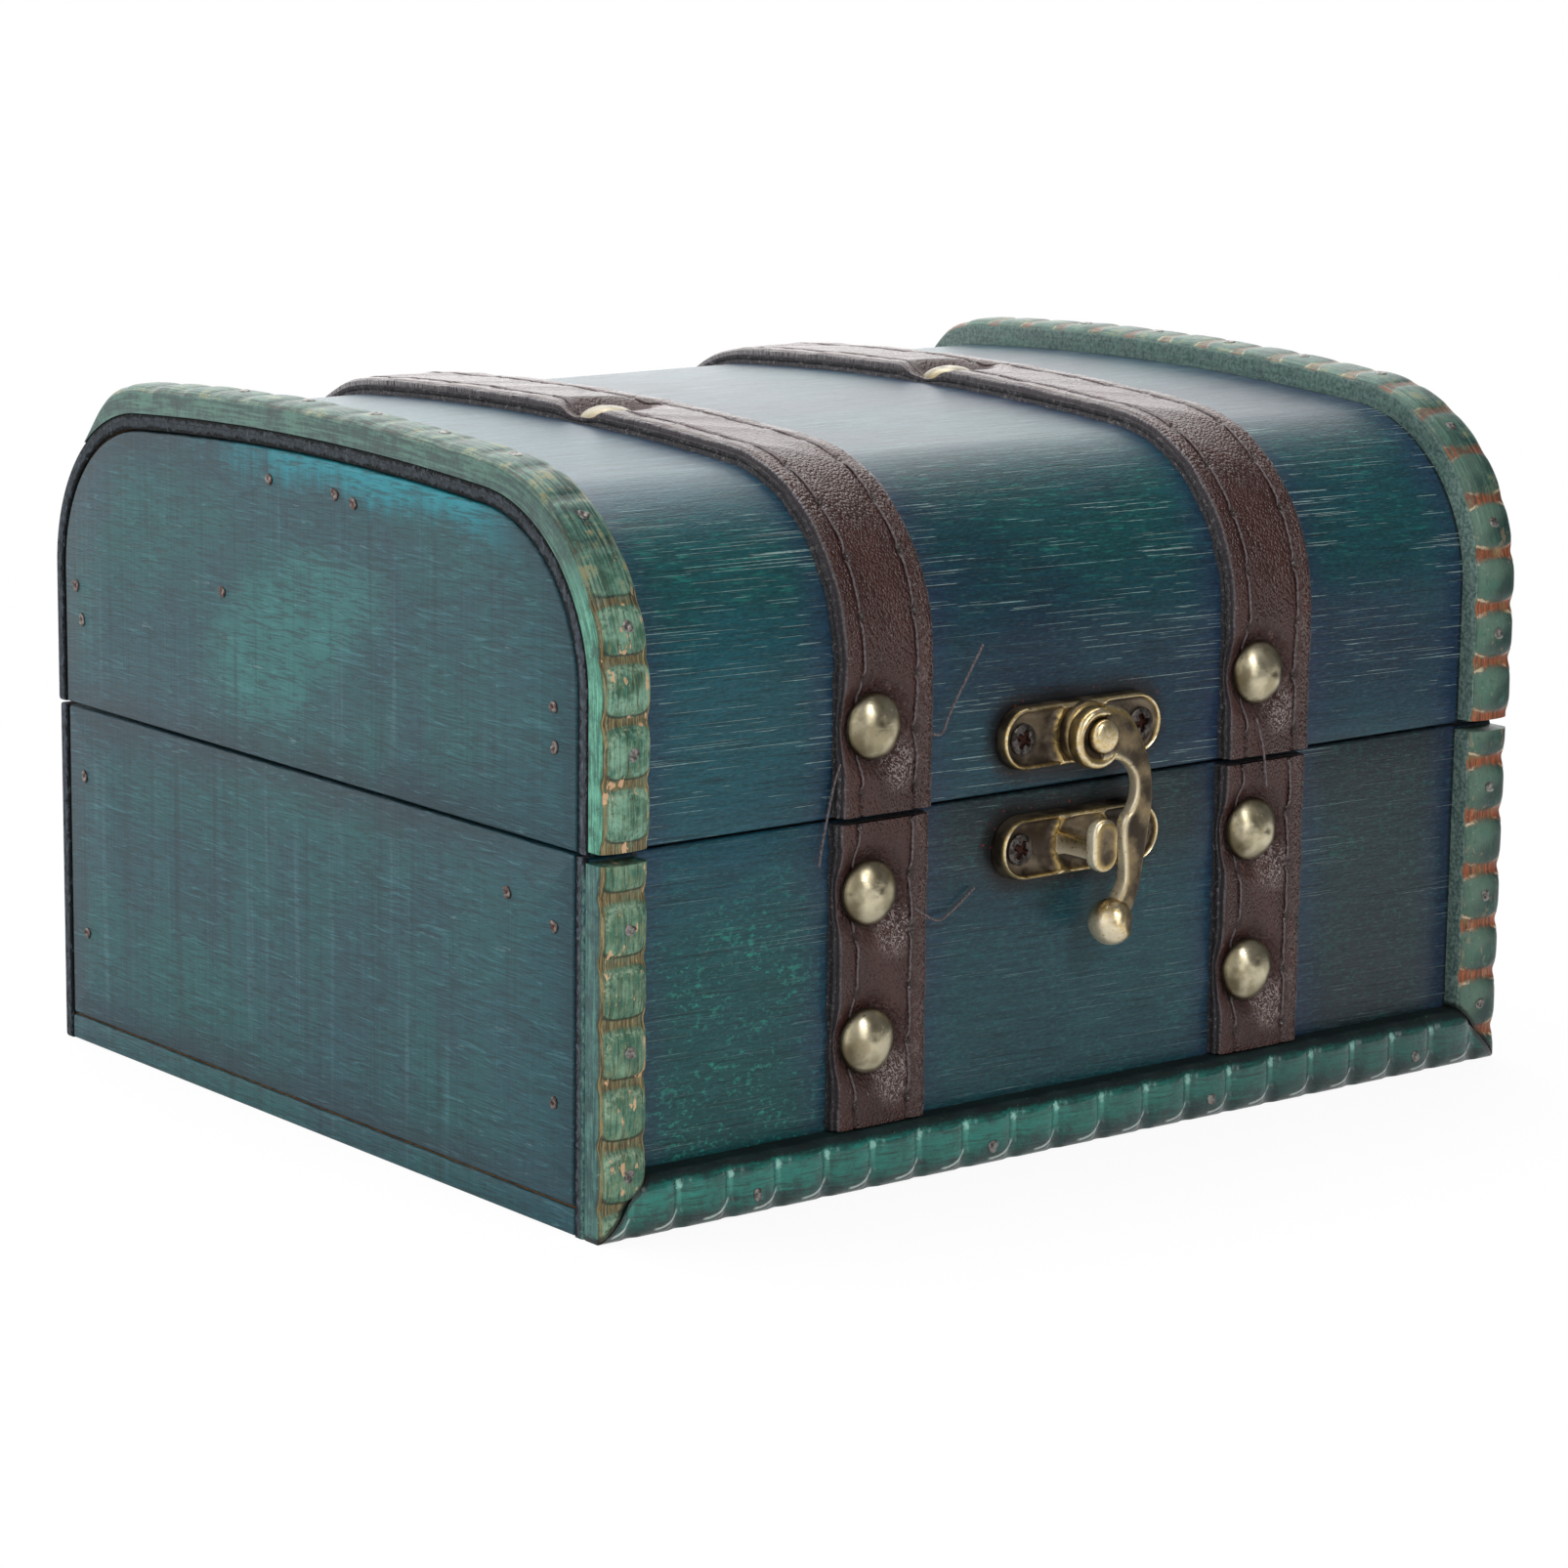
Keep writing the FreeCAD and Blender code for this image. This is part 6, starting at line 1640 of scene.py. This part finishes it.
class CHEST_OT_hinges(bpy.types.Operator):
    """Butt hinges at the back: leaves, knuckles, pins and screws"""

    bl_idname = "chest.hinges"
    bl_label = "Hinges"

    LEAF = 0.8 * MM  # thickness of a leaf
    PLAY = 0.2 * MM  # gap between two knuckles, and between a knuckle and a leaf

    def execute(self, context):
        brass = antique_brass()
        for side, _ in SIDES:
            pin_low, pin_high = corners(f"hinge_pin_{side}")
            axis = (pin_low + pin_high) / 2
            pin = Skin()
            barrel(pin, pin_low[0], pin_high[0], axis, (pin_high - pin_low)[2] / 2, 0.3 * MM)
            pin.piece(f"hinge_pin_{side}_brass", "base", "hinge_brass", [brass], f"hinge_pin_{side}")
            for part, face, shares in (("base", BASE_FACE, (0, 2)), ("lid", LID_FACE, (1,))):
                node = f"hinge_{part}_leaf_{side}"
                low, high = corners(node)
                radius = high[1] - axis[1]
                skin = Skin()
                inner = axis[2] + (radius + self.PLAY) * (1 if part == "lid" else -1)
                bottom, top = sorted((inner, high[2] if part == "lid" else low[2]))
                slab(rectangle((low[0], bottom), (high[0], top), 0.9 * MM), face, face + self.LEAF, (0, 2, 1), skin,
                     edge=0.2 * MM)
                share = (high[0] - low[0]) / 3
                for place in shares:
                    start = low[0] + place * share + self.PLAY / 2
                    end = start + share - self.PLAY
                    barrel(skin, start, end, axis, radius, 0.35 * MM)
                    bottom, top = sorted((axis[2], inner))
                    slab(rectangle((start, bottom), (end, top), 0.1 * MM), face, axis[1], (0, 2, 1), skin,
                         edge=0.05 * MM)
                skin.piece(f"{node}_brass", part, "hinge_brass", [brass], node)
        for part, face in (("base", BASE_FACE), ("lid", LID_FACE)):
            screw_heads(f"{part}_hinge_screw_heads", part, f"{part}_hinge_screws", face + self.LEAF, Y,
                        0.7 * MM, 0.3, 1)
        return {"FINISHED"}


# Stage


class StageSettings(bpy.types.PropertyGroup):
    """Camera and lights."""

    distance: length("Camera distance", 810.54, "Camera from the point that it looks at")
    floor: length("Floor", 330, "Radius of the pale floor")
    azimuth: tilt("Azimuth", -38.41, "Camera round the chest, from the front to the right")
    elevation: tilt("Elevation", 11.61, "Camera above level")
    roll: tilt("Roll", 0.68, "Camera turned about its own axis")
    lens: FloatProperty(name="Lens", description="Focal length in millimetres on a 36 mm sensor", default=115.25)


class CHEST_OT_stage(bpy.types.Operator):
    """Pale floor, soft studio light and the camera"""

    bl_idname = "chest.stage"
    bl_label = "Stage"

    TARGET = (1.33, -0.81, 43.12)  # the point that the camera looks at, in millimetres
    SENSOR = 36  # width of the camera's sensor in millimetres
    # Softboxes: place, aim, width and height in metres and power in watts
    LAMPS = {
        "overhead": ((0.05, 0.4, 1.1), (0, 0.02, 0.05), (1.3, 1.0), 9.5),
        "front_strip": ((0.02, -1.05, 0.6), (0, 0, 0.06), (0.42, 1.3), 4.2),
        "key": ((0.02, -1.0, 0.72), (0, 0, 0.06), (0.17, 0.32), 2.2),
    }

    def execute(self, context):
        self.add_camera(settings("stage"))
        self.add_floor(settings("stage").floor)
        for name, (place, aim, (width, height), power) in self.LAMPS.items():
            self.add_lamp(name, np.array(place), np.array(aim), width, height, power)
        self.add_world()
        bpy.context.scene.view_settings.view_transform = "Standard"
        return {"FINISHED"}

    def stand(self, data, place, back, roll=0.0):
        """A camera or lamp at a place with its back to a direction, level but for its roll."""
        right = unit(np.cross(Y if abs(back[2]) > 0.9 else Z, back))
        up = np.cross(back, right)
        flat, rise = np.cos(roll), np.sin(roll)
        axes = np.stack([right * flat + up * rise, up * flat - right * rise, back], axis=1)
        thing = bpy.data.objects.new(data.name, data)
        bpy.context.scene.collection.objects.link(thing)
        thing.matrix_world = Matrix.Translation(place) @ Matrix(axes.tolist()).to_4x4()
        return thing

    def add_camera(self, stage):
        """The camera stands at its distance from its target, by its azimuth and elevation."""
        flat = np.cos(stage.elevation)
        back = np.array([np.sin(stage.azimuth) * flat, -np.cos(stage.azimuth) * flat, np.sin(stage.elevation)])
        lens = bpy.data.cameras.new("camera")
        lens.sensor_width = self.SENSOR
        lens.lens = stage.lens
        place = np.array(self.TARGET) * MM + back * stage.distance
        bpy.context.scene.camera = self.stand(lens, place, back, stage.roll)

    def add_floor(self, radius):
        """A thin round floor under the chest, white to the camera apart from a soft shadow."""
        nodes = Finish(bpy.data.materials.new("pale_floor"))
        seen = nodes.ray("Camera").most(nodes.ray("Glossy") * 0.55)
        x, y, _ = nodes.parts(nodes.place())
        far = nodes.step((x * x + y * y) ** 0.5, radius / MM * 0.45, radius / MM * 0.95)
        diffuse = nodes.node("ShaderNodeBsdfDiffuse", sockets={"Color": (0.86, 0.86, 0.86)})
        white = nodes.node("ShaderNodeEmission", sockets={"Color": (1, 1, 1), "Strength": 1.0})
        share = seen * (far * 0.07 + 0.93)
        mixed = nodes.node("ShaderNodeMixShader", sockets={0: share, 1: diffuse.outputs[0], 2: white.outputs[0]})
        nodes.node("ShaderNodeOutputMaterial", sockets={0: mixed.outputs[0]})
        profile = np.array([(0.05, -2), (1, -2), (1, -0.02), (0.5, -0.02), (0.05, -0.02)]) * (radius, MM)
        skin = Skin()
        skin.shell(turned(profile, (0, 0, 0), Z, 96))
        skin.thing("floor", [nodes.owner], 40)

    def add_lamp(self, name, place, aim, width, height, power):
        """A softbox at a place, turned to its aim."""
        lamp = bpy.data.lights.new(name, "AREA")
        lamp.shape = "RECTANGLE"
        lamp.size = width
        lamp.size_y = height
        lamp.energy = power
        self.stand(lamp, place, unit(place - aim))

    def add_world(self):
        """A white studio: full white to the camera, bright at the back and dimmer in front."""
        world = bpy.data.worlds.new("studio")
        bpy.context.scene.world = world
        nodes = Finish(world)
        seen = nodes.ray("Camera").most(nodes.ray("Transmission"))
        x, y, z = nodes.parts(nodes.node("ShaderNodeTexCoord").outputs["Generated"])
        behind = nodes.step(y - x * 0.25, -0.1, 0.6)
        beside = nodes.step(x, -0.6, -0.85) * nodes.step(z, -0.1, 0.1)
        ahead = nodes.ray("Glossy") * nodes.step(y, 0.1, -0.4)
        below, left = nodes.step(z, 0.0, -0.1), nodes.step(x, -0.1, -0.6)
        strength = (behind * 2.1 + beside * 0.7 + 0.16 + ahead * (below * 0.38 + left * 0.6)) * (1 - seen) + seen
        background = nodes.node("ShaderNodeBackground", sockets={"Color": (1, 1, 1), "Strength": strength})
        nodes.node("ShaderNodeOutputWorld", sockets={0: background.outputs[0]})


OPERATORS = (CHEST_OT_sheets, CHEST_OT_boards, CHEST_OT_trims, CHEST_OT_straps, CHEST_OT_tacks, CHEST_OT_brads,
             CHEST_OT_plates, CHEST_OT_post, CHEST_OT_hook, CHEST_OT_hinges, CHEST_OT_stage)
GROUPS = {"body": BodySizes, "trim": TrimSizes, "strap": StrapSizes, "latch": LatchSizes, "finishes": Finishes,
          "stage": StageSettings}


class CHEST_PT_pieces(bpy.types.Panel):
    """Lists the chest's pieces"""

    bl_idname = "CHEST_PT_pieces"
    bl_label = "Treasure Chest"
    bl_space_type = "VIEW_3D"
    bl_region_type = "UI"
    bl_category = "Chest"

    def draw(self, context):
        for operator in OPERATORS:
            self.layout.operator(operator.bl_idname)


def register():
    """Registers the classes and puts the settings on the scene."""
    for kind in (*GROUPS.values(), *OPERATORS, CHEST_PT_pieces):
        bpy.utils.register_class(kind)
    for name, group in GROUPS.items():
        setattr(bpy.types.Scene, "chest_" + name, PointerProperty(type=group))


def unregister():
    """Takes the settings and the classes away again."""
    for name in GROUPS:
        delattr(bpy.types.Scene, "chest_" + name)
    for kind in (CHEST_PT_pieces, *reversed(OPERATORS), *GROUPS.values()):
        bpy.utils.unregister_class(kind)


def main():
    """Makes every piece and the stage, and writes the sizes of the model and of the scene."""
    register()
    for operator in OPERATORS:
        group, name = operator.bl_idname.split(".")
        getattr(getattr(bpy.ops, group), name)()


if __name__ == "__main__":
    main()
